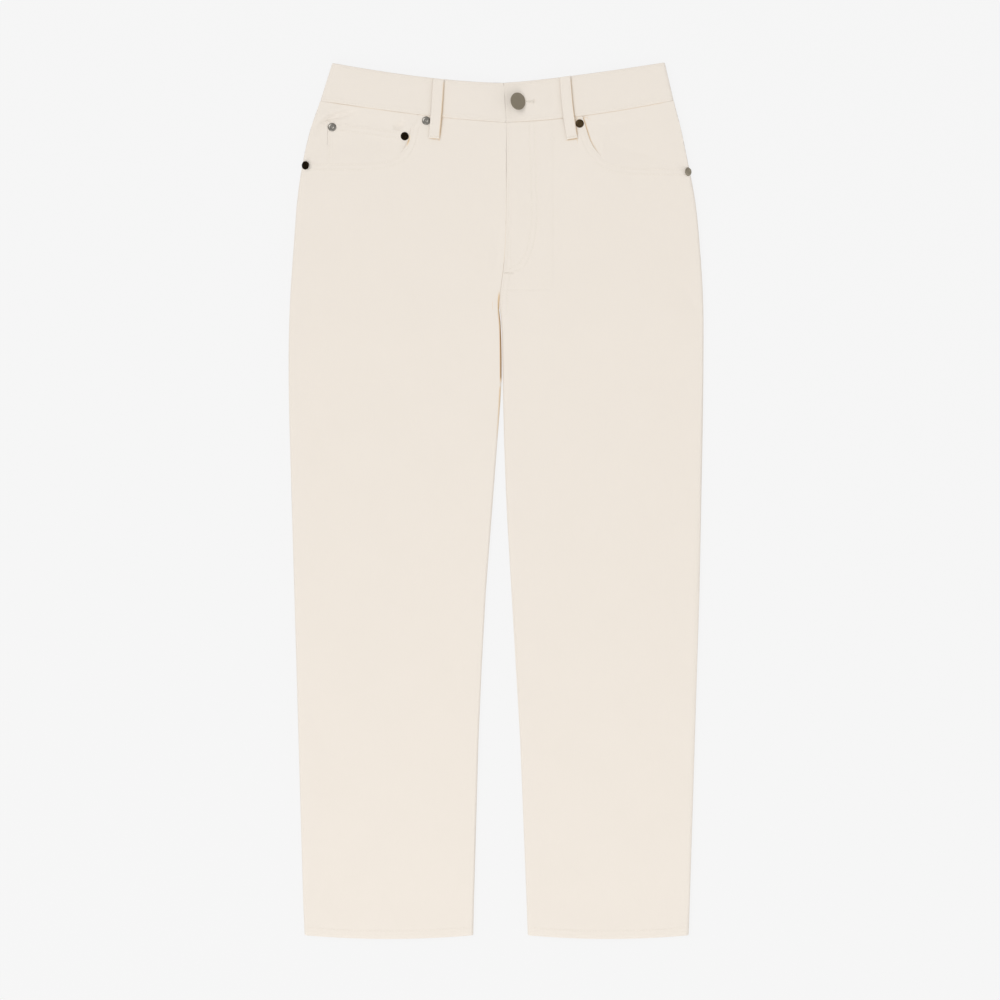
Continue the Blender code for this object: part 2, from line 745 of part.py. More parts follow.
def make_back_band(home):
    """The back half of the waistband, in one piece from side fold to side fold."""
    def turn(_row):
        return 1.0, 1.0

    rows = []
    for right in band_rows("right", lambda _height: TOP_EDGE["left"].side_x):
        share = right.hem_share
        left_end = (between(TOP_EDGE["left"].side_x, WAIST_SEAM["left"].side_x, share),
                    between(TOP_EDGE["left"].side_y, WAIST_SEAM["left"].side_y + 0.5 * GAP, share))
        rows.append(right._replace(inner=left_end))
    top, seam = band_curves(rows)
    return cloth_wall("waistband_back", rows, even_shares(2 * PANEL_COLUMNS), flat_edge, top, seam,
                      lambda _x, _y: (LIFT, BAND_SEAM_LEVEL, -1.0), turn, no_sink, home)


def make_back_pocket(side, home):
    """A five-cornered patch pocket that lies flat under the seat."""
    sign = -1.0 if side == "right" else 1.0
    half_top = 0.5 * POCKET_TOP_WIDTH
    half_foot = 0.5 * POCKET_FOOT_WIDTH
    corners = ((-half_top, 0.0), (-half_foot, -POCKET_SIDE), (0.0, -POCKET_DEPTH),
               (half_foot, -POCKET_SIDE), (half_top, 0.0))
    tilt = -sign * POCKET_TILT
    outline = []
    for across, down in corners:
        x = sign * POCKET_CENTRE[0] + across * math.cos(tilt) + down * math.sin(tilt)
        y = POCKET_CENTRE[1] - across * math.sin(tilt) + down * math.cos(tilt)
        outline.append((x, y))
    piece = outline_plate("back_pocket_" + side, outline, LIFT - GAP, home)
    edge = piece.modifiers.new("edge", "BEVEL")
    edge.width = POCKET_EDGE * MM
    edge.segments = 2
    edge.limit_method = "ANGLE"
    edge.angle_limit = math.radians(60.0)
    return piece


def outline_plate(name, outline, height, home):
    """A flat plate of cloth on the surface, with the given outline."""
    mesh = bpy.data.meshes.new(name)
    body = bmesh.new()
    lower = [body.verts.new((x * MM, y * MM, 0.0)) for x, y in outline]
    base = body.faces.new(lower)
    top = bmesh.ops.extrude_face_region(body, geom=[base])["geom"]
    raised = [item for item in top if isinstance(item, bmesh.types.BMVert)]
    bmesh.ops.translate(body, vec=(0.0, 0.0, height * MM), verts=raised)
    bmesh.ops.recalc_face_normals(body, faces=body.faces)
    body.to_mesh(mesh)
    body.free()
    piece = bpy.data.objects.new(name, mesh)
    piece.data.materials.append(cloth_material(name))
    home.objects.link(piece)
    return piece


# --- belt loops ------------------------------------------------------------------------

def carried_level(x, y):
    """Top of the front under a loop: the waistband, then the panel below the seam."""
    below = sweep_height(WAIST_SEAM, x) - y
    step = ease((below - LOOP_STEP_CLEAR) / LOOP_STEP_WIDTH)
    return between(BAND_TOP, front_top(y), step)


def make_loop(name, centre_line, slope, thickness, level, home):
    """A strap along a centre line, with sloping ends; level(x, y) gives its lower face."""
    upper, lower = [], []
    for share in LOOP_LENGTHS:
        x, y = point_along(centre_line, share)
        end_pinch = LOOP_PINCH if share in (0.0, 1.0) else 0.0
        base = level(x, y) + GAP
        arch = LOOP_ARCH * math.sin(math.pi * share)
        rows = ([], [])
        for place, pinch in LOOP_ACROSS:
            point_x = x + place * LOOP_WIDTH
            point_y = y + slope * place * LOOP_WIDTH
            drop = max(pinch, end_pinch)
            rows[0].append((point_x, point_y, base + arch + thickness - drop))
            rows[1].append((point_x, point_y, base + arch + drop * 0.5))
        upper.append(rows[0])
        lower.append(rows[1])
    return wall_object(name, upper, lower, home, cloth_material(name))


def make_back_loop(place, home):
    """A loop under the back of the waistband; it lies flat on the surface."""
    x = LOOP_BACK_X[place]
    top = sweep_height(TOP_EDGE, x) - LOOP_BACK_TOP
    foot = sweep_height(WAIST_SEAM, x) - LOOP_BELOW_SEAM
    half = 0.5 * LOOP_WIDTH
    outline = ((x - half, top), (x - half, foot), (x + half, foot), (x + half, top))
    return outline_plate("loop_back_" + place, outline, LOOP_BACK_WALL, home)


# --- metal -----------------------------------------------------------------------------

def turned(name, rings, sides, place, home):
    """A turned piece of metal from its rings, at a place."""
    mesh = bpy.data.meshes.new(name)
    body = bmesh.new()
    points = [body.verts.new((ring.radius * MM, 0.0, ring.height * MM)) for ring in rings]
    for first, second in zip(points, points[1:]):
        body.edges.new((first, second))
    body.to_mesh(mesh)
    body.free()
    piece = bpy.data.objects.new(name, mesh)
    piece.location = [value * MM for value in place]
    piece.data.materials.append(metal_material(name))
    screw = piece.modifiers.new("turn", "SCREW")
    screw.axis = "Z"
    screw.angle = 2.0 * math.pi
    screw.steps = sides
    screw.render_steps = sides
    screw.use_merge_vertices = True
    screw.merge_threshold = 0.00005
    screw.use_smooth_shade = True
    home.objects.link(piece)
    return piece


def make_button(home):
    """The shank button: its stem stands on the right band and leans in the buttonhole."""
    underlap = BAND_TOP - BAND_UNDERLAP_DROP
    foot = underlap + GAP + BUTTON_NECK * math.sin(BUTTON_LEAN)
    button = turned("button", BUTTON_RINGS, BUTTON_SIDES, (*BUTTON_FOOT, foot), home)
    button.rotation_euler = (0.0, BUTTON_LEAN, BUTTON_TURN)
    return button


def cut_buttonhole(band, cutters):
    """The slit and the round eye that the button's stem comes up through."""
    start, end, height = BUTTONHOLE
    middle = [0.5 * (start + end) * MM, height * MM, BAND_TOP * MM]
    bpy.ops.mesh.primitive_cube_add(size=1.0, location=middle)
    slit = bpy.context.object
    slit.scale = ((end - start) * MM, BUTTONHOLE_WIDTH * MM, CUTTER_DEPTH * MM)
    middle[0] = (start + EYE_INSET) * MM
    bpy.ops.mesh.primitive_cylinder_add(vertices=EYE_SIDES, radius=BUTTONHOLE_EYE * MM,
                                        depth=CUTTER_DEPTH * MM, location=middle)
    eye = bpy.context.object
    for name, cutter in (("buttonhole_slit", slit), ("buttonhole_eye", eye)):
        cutter.name = name
        cutter.hide_render = True
        cutter.display_type = "WIRE"
        for owner in list(cutter.users_collection):
            owner.objects.unlink(cutter)
        cutters.objects.link(cutter)
        cut = band.modifiers.new(name, "BOOLEAN")
        cut.operation = "DIFFERENCE"
        cut.solver = "EXACT"
        cut.object = cutter


def rivet_level(rivet):
    """Height of a rivet's middle; one that leans clears the round of the side seam."""
    level = front_top(rivet.height)
    if rivet.on == "watch":
        level -= FACING_DROP
    if not rivet.lean:
        return level + GAP
    side = "right" if rivet.x < 0.0 else "left"
    lean = math.radians(abs(rivet.lean))
    radius = level - seam_level(rivet.height) - 0.5 * GAP
    round_x = abs(side_x(side, rivet.height)) - radius
    clear = radius + GAP
    overhang = round_x + clear * math.sin(lean) - abs(rivet.x)
    return level - radius + clear * math.cos(lean) + overhang * math.tan(lean)


def make_rivet(rivet, home):
    """A flat rivet with a rolled rim and a small point in its dish."""
    place = (rivet.x, rivet.height, rivet_level(rivet))
    piece = turned(rivet.name, RIVET_RINGS, RIVET_SIDES, place, home)
    piece.rotation_euler = (0.0, math.radians(rivet.lean), 0.0)
    return piece


# --- materials and the whole -----------------------------------------------------------

def plain_material(name, colour, metallic, roughness):
    material = bpy.data.materials.new(name)
    material.use_nodes = True
    shader = material.node_tree.nodes["Principled BSDF"]
    shader.inputs["Base Color"].default_value = colour
    shader.inputs["Metallic"].default_value = metallic
    shader.inputs["Roughness"].default_value = roughness
    material.diffuse_color = colour
    return material


def cloth_material(name):
    return plain_material(name + "_cloth", CLOTH_COLOUR, 0.0, 0.9)


def metal_material(name):
    return plain_material(name + "_metal", METAL_COLOUR, 1.0, 0.38)


def build():
    for item in list(bpy.data.objects):
        bpy.data.objects.remove(item)
    home = bpy.data.collections.new("five_pocket_jeans")
    cutters = bpy.data.collections.new("cutters")
    for collection in (home, cutters):
        bpy.context.scene.collection.children.link(collection)
    for side in ("right", "left"):
        make_front(side, home)
        make_back(side, home)
        make_yoke(side, home)
        make_facing(side, home)
        make_back_pocket(side, home)
        make_loop("loop_front_" + side, LOOP_FRONT[side], LOOP_SLOPE[side], LOOP_WALL,
                  carried_level, home)
    make_watch_pocket(home)
    make_front_band("right", home)
    left_band = make_front_band("left", home)
    cut_buttonhole(left_band, cutters)
    make_back_band(home)
    for place in LOOP_BACK_X:
        make_back_loop(place, home)
    make_button(home)
    for rivet in RIVETS:
        make_rivet(rivet, home)


build()
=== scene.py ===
"""Looks of five-pocket jeans in heavy ecru cotton, laid flat on their back.

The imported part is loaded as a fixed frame. Each cloth piece is a fine copy of its solid with
seams and creases pressed into it. The sewing is laid on that cloth stitch by stitch, and the
button and the rivets are modelled over their solids. Tables and paths are in millimetres, with
+Y to the waist, +Z up through the front and the wearer's right leg at -X.
"""

import math
from collections import namedtuple

import bmesh
import bpy
import numpy as np
from mathutils import Euler, Matrix, Vector
from mathutils.bvhtree import BVHTree


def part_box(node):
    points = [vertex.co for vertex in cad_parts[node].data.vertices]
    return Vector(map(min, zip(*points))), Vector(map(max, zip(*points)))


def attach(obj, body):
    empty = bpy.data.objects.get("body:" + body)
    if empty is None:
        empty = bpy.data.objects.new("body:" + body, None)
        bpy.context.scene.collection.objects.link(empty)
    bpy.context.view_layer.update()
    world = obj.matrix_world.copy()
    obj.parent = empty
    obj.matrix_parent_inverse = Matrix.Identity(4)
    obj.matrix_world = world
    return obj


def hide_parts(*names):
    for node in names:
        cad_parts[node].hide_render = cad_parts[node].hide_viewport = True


bl_info = {
    "name": "Five-pocket jeans",
    "version": (1, 0, 0),
    "blender": (4, 5, 0),
    "location": "3D View > Sidebar > Jeans",
    "description": "Cloth, sewing, metal and studio of jeans laid out flat",
    "category": "Object",
}

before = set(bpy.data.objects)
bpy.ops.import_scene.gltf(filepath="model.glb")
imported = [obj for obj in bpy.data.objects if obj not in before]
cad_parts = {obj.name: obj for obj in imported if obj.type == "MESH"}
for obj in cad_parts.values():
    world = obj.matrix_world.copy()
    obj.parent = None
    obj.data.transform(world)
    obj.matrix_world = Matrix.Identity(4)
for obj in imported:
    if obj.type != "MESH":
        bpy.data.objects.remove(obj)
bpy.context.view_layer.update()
MM = 0.001
BODY = "root"

# The photograph: its size, the pixel over the origin, and the size of a pixel on the cloth
PHOTO_SIZE = 1000.0
PHOTO_ORIGIN = (496.0, 500.75)
MM_PER_PIXEL = 1.09
CLOTH_LEVEL = 5.0
SENSOR = 36.0
FLOOR_GAP = 0.3

# Where the low light and the broad light beyond the hems come from
LOW_FROM = (0.75, -0.45, 0.5)
HEM_FROM = (-0.9, -2.4, 2.0)

# --- edges of the pieces, as the solids have them --------------------------------------

Sweep = namedtuple("Sweep", "middle low side_x side_y power")
WAIST_SEAM = (Sweep(9.5, 412.4, -191.5, 435.6, 1.35), Sweep(9.5, 412.4, 193.6, 436.2, 1.6))
TOP_EDGE = (Sweep(7.5, 455.2, -178.4, 477.0, 1.58), Sweep(7.5, 455.2, 183.9, 477.6, 1.25))
MOUTH_RIGHT = ((-84.7, 419.9), (-91.5, 409.5), (-94.4, 397.0), (-98.6, 385.6), (-106.5, 376.8),
               (-119.5, 371.4), (-150.0, 369.0), (-210.6, 369.2))
MOUTH_LEFT = ((94.0, 419.4), (97.6, 407.5), (103.3, 390.6), (110.6, 379.6), (119.8, 371.0),
              (134.0, 365.8), (160.0, 363.9), (210.2, 363.4))
FLY = ((11.2, 413.0), (10.9, 287.0), (9.0, 261.0), (6.2, 239.0), (4.4, 224.0))
FLY_CURVE = ((14.1, 247.2), (29.7, 254.8), (39.5, 274.4), (44.5, 306.0), (43.6, 360.0),
             (41.7, 411.7))
CROTCH = ((9.0, 261.0), (6.2, 239.0), (4.4, 224.0), (4.4, 208.0))
BAND_END = ((8.7, 454.0), (11.2, 413.5))
INSEAM_RIGHT = ((3.4, 208.0), (4.8, 196.0), (5.6, 182.0), (6.0, 131.0), (1.6, 66.0),
                (-5.2, -21.0), (-11.7, -108.0), (-18.3, -239.0), (-22.6, -370.0),
                (-24.8, -471.7))
INSEAM_LEFT = ((4.4, 208.0), (5.8, 196.0), (6.6, 182.0), (7.4, 131.0), (8.8, 66.0),
               (12.3, -21.0), (17.7, -108.0), (25.3, -239.0), (31.0, -370.0), (34.6, -471.7))
SIDE_RIGHT = ((-210.1, 371.0), (-216.6, 328.0), (-219.9, 284.0), (-224.4, 219.0),
              (-226.1, 150.0), (-224.8, 66.0), (-219.8, -108.0), (-214.5, -283.0),
              (-211.1, -413.0), (-208.7, -471.7))
SIDE_LEFT = ((208.8, 371.0), (217.0, 328.0), (221.6, 284.0), (225.7, 219.0), (226.1, 150.0),
             (225.2, 66.0), (221.6, -108.0), (216.1, -283.0), (212.0, -413.0), (210.1, -471.7))
SIDE_TOP_RIGHT = ((-191.3, 436.0), (-202.5, 404.0), (-210.1, 371.0), (-211.5, 362.0))
SIDE_TOP_LEFT = ((193.5, 436.0), (201.9, 404.0), (208.8, 371.0), (210.6, 361.0))
HEM, HEM_DROP = -473.5, 4.0
WATCH_TOP = ((-86.0, 401.2), (-184.0, 413.6))
WATCH_FOOT = 358.0
YOKE_RIGHT = ((-205.1, 394.0), (1.6, 347.0))
YOKE_LEFT = ((1.6, 347.0), (204.1, 394.0))
SEAT_SEAM = ((1.2, 412.0), (1.6, 347.0), (4.5, 224.0))
POCKET_CENTRE = (106.0, 346.0)
POCKET_CORNERS = ((-69.0, 0.0), (-59.0, -116.0), (0.0, -146.0), (59.0, -116.0), (69.0, 0.0))
POCKET_TILT = math.radians(5.0)
LOOPS = {
    "loop_front_right": ((-62.6, 459.6), (-64.6, 428.0), (-67.5, 394.6)),
    "loop_front_left": ((75.2, 462.0), (78.1, 428.0), (83.0, 394.4)),
    "loop_back_right": ((-118.0, 466.4), (-118.0, 403.9)),
    "loop_back_centre": ((1.2, 454.8), (1.2, 391.7)),
    "loop_back_left": ((118.0, 467.1), (118.0, 401.6)),
}
LOOP_HALF, LOOP_ROW = 5.8, 2.0

# --- sewing ----------------------------------------------------------------------------

EDGE_ROW = 2.4          # a row of stitches along an edge, and the second of a twin pair
TWIN_ROW = 8.0
PATH_STEP = 1.5
FAR = 12.0              # beyond this distance a seam no longer marks the cloth
EDGE_BLUR = 0.3         # the turned cloth starts this far before its edge, up to as far in

# A seam: the cloth piece that carries it, its edge, the distances of its rows of stitches,
# which of the cloth's two distance fields it is kept in, the width and height of the turned
# cloth under it, and the width over which that fades out; a name with {} is on both sides
Seam = namedtuple("Seam", "cloth path rows field width height fade", defaults=(2.5,))
TWIN = (EDGE_ROW, TWIN_ROW)
SINGLE = (EDGE_ROW,)
HEM_ROW = (8.7,)
SEAMS = tuple(
    Seam(cloth.format(side), edge.format(side), *rest)
    for cloth, edge, *rest in (
        ("front_{}", "mouth_{}", TWIN, 0, 10.0, 0.2),
        ("front_left", "fly", SINGLE, 1, 8.0, 0.35, 18.0),
        ("front_left", "fly_curve", TWIN, 0, 12.0, 0.12),
        ("front_left", "crotch_front", TWIN, 1, 9.0, 0.15),
        ("front_{}", "hem_{}", HEM_ROW, 0, 9.5, 0.15),
        ("front_{}", "inseam_{}", (), 1, 9.0, 0.12),
        ("front_{}", "side_{}", (), 1, 11.0, 0.1),
        ("watch_pocket", "watch_top", TWIN, 0, 10.0, 0.12),
        ("watch_pocket", "watch_outer", SINGLE, 1, 8.0, 0.0),
        ("waistband_{}", "band_top", SINGLE, 0, 8.0, 0.0),
        ("waistband_{}", "band_foot", SINGLE, 0, 8.0, 0.0),
        ("waistband_left", "band_end", SINGLE, 1, 8.0, 0.0),
        ("waistband_back", "band_top", SINGLE, 0, 8.0, 0.0),
        ("waistband_back", "band_foot", SINGLE, 0, 8.0, 0.0),
        ("yoke_{}", "yoke_{}", TWIN, 0, 10.0, 0.3),
        ("yoke_left", "seat", TWIN, 1, 10.0, 0.3),
        ("back_left", "seat", TWIN, 1, 10.0, 0.3),
        ("back_{}", "hem_{}", HEM_ROW, 0, 9.5, 0.0),
        ("back_{}", "inseam_{}", TWIN, 1, 9.0, 0.0),
        ("back_pocket_{}", "pocket_{}", TWIN, 0, 10.0, 0.0),
        ("back_pocket_{}", "pocket_top_{}", (12.0,), 1, 13.0, 0.0),
    )
    for side in (("right", "left") if "{}" in cloth else ("",))
)

# Bars of close stitches: the cloth piece, middle, direction in degrees and length. Those on
# the loops are narrower, of a thinner thread
Bar = namedtuple("Bar", "cloth x y angle length")
BARS = (
    Bar("front_left", 13.5, 248.0, 0.0, 10.0),
    Bar("loop_front_right", -67.4, 396.4, -6.8, 9.4),
    Bar("loop_front_left", 82.8, 396.2, 8.5, 9.4),
    *(Bar(cloth, x, y, 0.0, 9.4)
      for cloth, x, top, foot in (("loop_back_right", -118.0, 464.6, 405.7),
                                  ("loop_back_centre", 1.2, 453.0, 393.5),
                                  ("loop_back_left", 118.0, 465.3, 403.4))
      for y in (top, foot)),
    Bar("back_pocket_right", -171.0, 350.0, 85.0, 9.0),
    Bar("back_pocket_right", -42.5, 338.5, 85.0, 9.0),
    Bar("back_pocket_left", 171.0, 350.0, 95.0, 9.0),
    Bar("back_pocket_left", 42.5, 338.5, 95.0, 9.0),
)
BAR_PITCH, BAR_WIDTH = 0.55, 1.9
LOOP_BAR_WIDTH, LOOP_BAR_THREAD = 1.3, 0.7

# --- creases ---------------------------------------------------------------------------

# A crease: cloth piece, path, half width and depth; a negative depth is a ridge
Crease = namedtuple("Crease", "cloth points width depth")
CREASES = (
    Crease("facing_right", ((-198.0, 398.0), (-189.0, 410.5), (-178.0, 418.0), (-150.0, 425.0)),
           3.0, 3.0),
    Crease("facing_right", ((-203.0, 404.0), (-194.0, 416.5), (-181.0, 424.0), (-158.0, 430.0)),
           4.0, -0.8),
    Crease("facing_right", ((-112.0, 406.5), (-106.0, 408.5), (-98.0, 412.0)), 3.5, 2.6),
    Crease("facing_right", ((-120.0, 408.0), (-110.0, 415.0), (-98.0, 420.0)), 4.5, -0.5),
    Crease("front_right", ((3.5, 300.0), (1.0, 270.0), (-2.5, 240.0)), 5.0, 0.45),
    Crease("front_left", ((200.0, 239.0), (212.0, 220.0), (222.5, 202.0)), 4.5, 0.6),
    Crease("front_left", ((192.0, 335.0), (205.0, 326.0), (216.0, 318.0)), 4.0, -0.3),
    Crease("front_left", ((28.0, 240.0), (34.0, 190.0), (30.0, 130.0)), 12.0, 0.4),
    Crease("front_right", ((-12.0, 215.0), (-30.0, 185.0), (-38.0, 140.0)), 13.0, 0.25),
    Crease("front_left", ((120.0, 361.0), (122.0, 345.0), (118.0, 322.0)), 8.0, 0.15),
    Crease("front_right", ((-190.0, 255.0), (-205.0, 236.0), (-219.0, 212.0)), 6.0, 0.25),
    Crease("back_right", ((-20.0, 210.0), (-48.0, 180.0), (-66.0, 140.0)), 12.0, -0.3),
    Crease("back_left", ((22.0, 206.0), (50.0, 172.0), (64.0, 128.0)), 14.0, -0.3),
)

# A deep line of painted shade where two edges meet, painted warm as the light that comes through
# the cotton is:
# cloth pieces, path, width, and its strength at the start, middle and end
Line = namedtuple("Line", "cloths points width strengths")
PAINTED_SHADE_LINES = (
    Line(("waistband_right", "front_right", "loop_front_right"),
         ((-56.6, 458.9), (-58.6, 427.4), (-61.5, 393.8)), 1.6, (0.5, 0.8, 0.9)),
    Line(("front_right", "loop_front_right"), ((-73.0, 395.0), (-61.5, 393.6)), 1.1,
         (0.1, 0.8, 1.1)),
    Line(("waistband_left", "front_left", "loop_front_left"),
         ((81.2, 462.8), (84.1, 428.8), (89.0, 395.0)), 1.2, (0.5, 0.7, 0.9)),
    Line(("front_left", "loop_front_left"), ((77.2, 393.0), (89.0, 394.8)), 1.1,
         (0.6, 0.9, 1.1)),
    Line(("facing_left",), ((94.6, 419.4), (98.2, 407.5), (103.9, 390.6), (111.0, 380.0)),
         1.5, (0.9, 0.9, 0.2)),
    Line(("facing_right", "watch_pocket", "front_right"),
         ((-93.8, 399.0), (-95.0, 392.5), (-97.6, 386.0)), 1.3, (0.3, 1.4, 0.3)),
    Line(("front_right", "front_left", "back_right", "back_left"),
         ((3.6, 230.0), (2.9, 212.0), (4.6, 190.0), (5.2, 160.0), (5.4, 127.0)), 1.8,
         (1.0, 2.0, 2.0)),
    Line(("front_right", "back_right"), ((4.6, 126.0), (3.0, 96.0), (1.0, 66.0)), 1.4,
         (1.1, 0.8, 0.2)),
    Line(("waistband_right", "front_right", "facing_right"),
         ((9.5, 412.4), (-50.0, 416.9), (-100.0, 422.6), (-150.0, 429.4), (-188.0, 435.1)), 1.0,
         (0.1, 0.2, 0.35)),
    Line(("waistband_left", "front_left", "facing_left"),
         ((9.5, 412.4), (60.0, 415.4), (110.0, 421.4), (160.0, 429.6), (190.0, 435.5)), 1.0,
         (0.1, 0.25, 0.35)),
    Line(("front_right",), ((11.0, 410.0), (10.7, 300.0), (8.8, 261.0), (4.4, 224.0)), 0.7,
         (0.0, 0.1, 0.4)),
)

# Broad unevenness of the cloth: wave lengths along x and y, phase and height
Wave = namedtuple("Wave", "x y phase height")
WAVES = (
    Wave(97.0, 181.0, 0.4, 0.09),
    Wave(-61.0, 143.0, 1.9, 0.07),
    Wave(47.0, -88.0, 3.1, 0.04),
    Wave(210.0, 59.0, 5.2, 0.05),
)

# Width and length of each piece's cut, and the share of that rectangle that it fills
Cut = namedtuple("Cut", "width length share")
CROSS_GRAIN = ("waistband_right", "waistband_left", "waistband_back")
WELD = 1e-6             # metres
FLAT = math.radians(0.6)
SHARP = math.radians(50.0)
OUTER_LEAN = 0.15       # a face whose normal points out more than this is on the shown side
RIM = 0.2               # rounding of a piece's edges
FOLD_RIM = 0.4          # rounding of the waistband and the loops, which are folded
SEAM_CLOSE = 0.14       # each edge is moved out this far, so that sewn edges meet
BACK_RISE = 0.25        # the back rests on its sewing, so its cloth stands this much higher
WATCH_RISE = 0.05       # the watch pocket lies this much above the facing
LINE_REACH = 6.0        # further from a line its strength is nothing
LINE_TAPER = 12.0       # a line fades in and out over one part in this many of its length

# Where cloth goes on under an edge that covers it, it stands flush with what covers it. Its
# wall is this far out from that edge; a minus sign puts it out of sight below the edge
FLUSH = {"front_right": -0.08, "waistband_right": -0.1, "facing_right": -0.4,
         "facing_left": -0.4, "watch_pocket": -0.4}
FLUSH_WALL = 0.26       # distance between the two cuts that hold the wall
WALL_START, WALL_WIDTH = 0.18, 0.1
CORNER_STEP = 8.0       # length of one cut along a covering edge
CUT_REACH = 6.0         # it cuts the faces whose middles are this near
FLY_FOOT = 240.0        # the fly covers the other front above this y
SEAT_TOP, FACING_TOP, BAND_TOP = 7.0, 5.6, 7.7
MOST_LIFT, MOST_END_LIFT = 3.0, 2.5
# A facing sinks from its side, waist seam and mouth inwards: where it starts, over which distance
SIDE_START, WAIST_START, MOUTH_START = 2.6, 0.5, 0.8
SIDE_SLOPE, WAIST_SLOPE, MOUTH_SLOPE = {"right": 26.0, "left": 78.0}, 15.0, 9.0
END_RISE = 0.45         # the end of the buttoned band lies this much higher
END_REACH = 11.0        # and the band under it rises to it over this distance
CLOSED_MOUTH = {"right": 97.0, "left": 107.0}  # beyond this x the mouth lies closed
CLOSING = 10.0          # it closes over this distance
MOUTH_OVERLAP = 2.0     # and its covering edge starts this far before that
CLOSED_RISE = 1.5       # how far the cloth inside rises there, and over which distance
CLOSED_REACH = 24.0
UPPER_MOUTH, UPPER_CLOSING = 402.0, 5.0  # above this y the right mouth is closed too

# --- metal -----------------------------------------------------------------------------

# A face is shaped by steps of inset and rise, from its rim in. The buttonhole is given by the
# x of its outer end and its y, and its eye by its x and radius
BUTTON_RADIUS = 9.5
BUTTON_FOOT = (19.4, 434.1, 7.43)
BUTTON_LEAN = math.radians(34.0)
BUTTON_TURN = math.radians(9.0)
BUTTONHOLE = (40.6, 434.9)
BUTTONHOLE_EYE = (20.0, 3.4)
BUTTON_FACE = ((0.5, 0.15), (0.5, 0.05), (0.6, -0.12), (3.0, -0.03), (3.0, 0.0))
BUTTON_DEPTH, BUTTON_LEVEL = 0.8, 7.7
STEM_RADIUS, STEM_DEPTH = 2.2, 7.1
COLLAR_RADIUS, COLLAR_DEPTH, COLLAR_LEVEL = 3.6, 0.7, 7.0
RIVET_RADIUS, RIVET_HEIGHT = 4.6, 1.3
RIVET_FACE = ((0.15, 0.25), (0.35, 0.3), (0.6, 0.25), (0.8, 0.17), (0.9, 0.08), (0.3, -0.15),
              (0.5, -0.05), (0.25, 0.2), (0.35, 0.1))
SIDE_LEAN = {"rivet_right_side": -29.0, "rivet_left_side": 39.0}


# --- curves ----------------------------------------------------------------------------

def ease(share):
    """0 below 0, 1 above 1 and smooth between them."""
    share = np.clip(share, 0.0, 1.0)
    return share * share * (3.0 - 2.0 * share)


def even(points, step=PATH_STEP):
    """The same path with points at even distances."""
    points = np.asarray(points, float)
    along = np.r_[0.0, np.cumsum(np.hypot(*np.diff(points, axis=0).T))]
    count = max(int(round(along[-1] / step)), 1) + 1
    places = np.linspace(0.0, along[-1], count)
    return np.stack([np.interp(places, along, points[:, axis]) for axis in (0, 1)], axis=1)


def smooth(points, step=PATH_STEP):
    """Even points on a smooth curve through the given ones."""
    points = np.asarray(points, float)
    along = np.r_[0.0, np.cumsum(np.hypot(*np.diff(points, axis=0).T))]
    last = len(points) - 1
    low = np.maximum(np.arange(last + 1) - 1, 0)
    high = np.minimum(np.arange(last + 1) + 1, last)
    slopes = (points[high] - points[low]) / (along[high] - along[low])[:, None]
    places = np.linspace(0.0, along[-1], 40 * last + 1)
    index = np.clip(np.searchsorted(along, places, side="right") - 1, 0, last - 1)
    width = (along[index + 1] - along[index])[:, None]
    share = (places - along[index])[:, None] / width
    square, cube = share ** 2, share ** 3
    curve = ((2 * cube - 3 * square + 1) * points[index]
             + (3 * square - 2 * cube) * points[index + 1]
             + (cube - 2 * square + share) * width * slopes[index]
             + (cube - square) * width * slopes[index + 1])
    return even(curve, step)


def sweep(halves, start, end):
    """A curved edge across the garment from x start to x end."""
    x = np.linspace(start, end, 200)
    y = np.empty_like(x)
    for half, here in zip(halves, (x < halves[0].middle, x >= halves[0].middle)):
        share = np.abs(x[here] - half.middle) / abs(half.side_x - half.middle)
        y[here] = half.low + (half.side_y - half.low) * share ** half.power
    return even(np.stack([x, y], axis=1))


def normals(path):
    """Unit vectors to the left of a path's direction."""
    along = np.gradient(path, axis=0)
    along /= np.hypot(*along.T)[:, None]
    return np.stack([-along[:, 1], along[:, 0]], axis=1)


def beside(path, distance):
    """The path moved to its left."""
    return path + distance * normals(path)


def is_behind(node):
    """True for a piece whose shown face looks down."""
    return node.startswith(("back", "yoke", "loop_back")) or node == "waistband_back"


def hem(outer, inner):
    """The hem of a leg between two x, lower in its middle."""
    share = np.linspace(0.0, 1.0, 60)
    y = HEM - HEM_DROP * (1.0 - (2.0 * share - 1.0) ** 2)
    return even(np.stack([outer + (inner - outer) * share, y], axis=1))


def pocket_outline(sign):
    """Corners of a back pocket, counterclockwise from its outer or inner top corner."""
    tilt = -sign * POCKET_TILT
    corners = []
    for across, down in POCKET_CORNERS:
        corners.append((sign * POCKET_CENTRE[0] + across * math.cos(tilt) + down * math.sin(tilt),
                        POCKET_CENTRE[1] - across * math.sin(tilt) + down * math.cos(tilt)))
    return corners


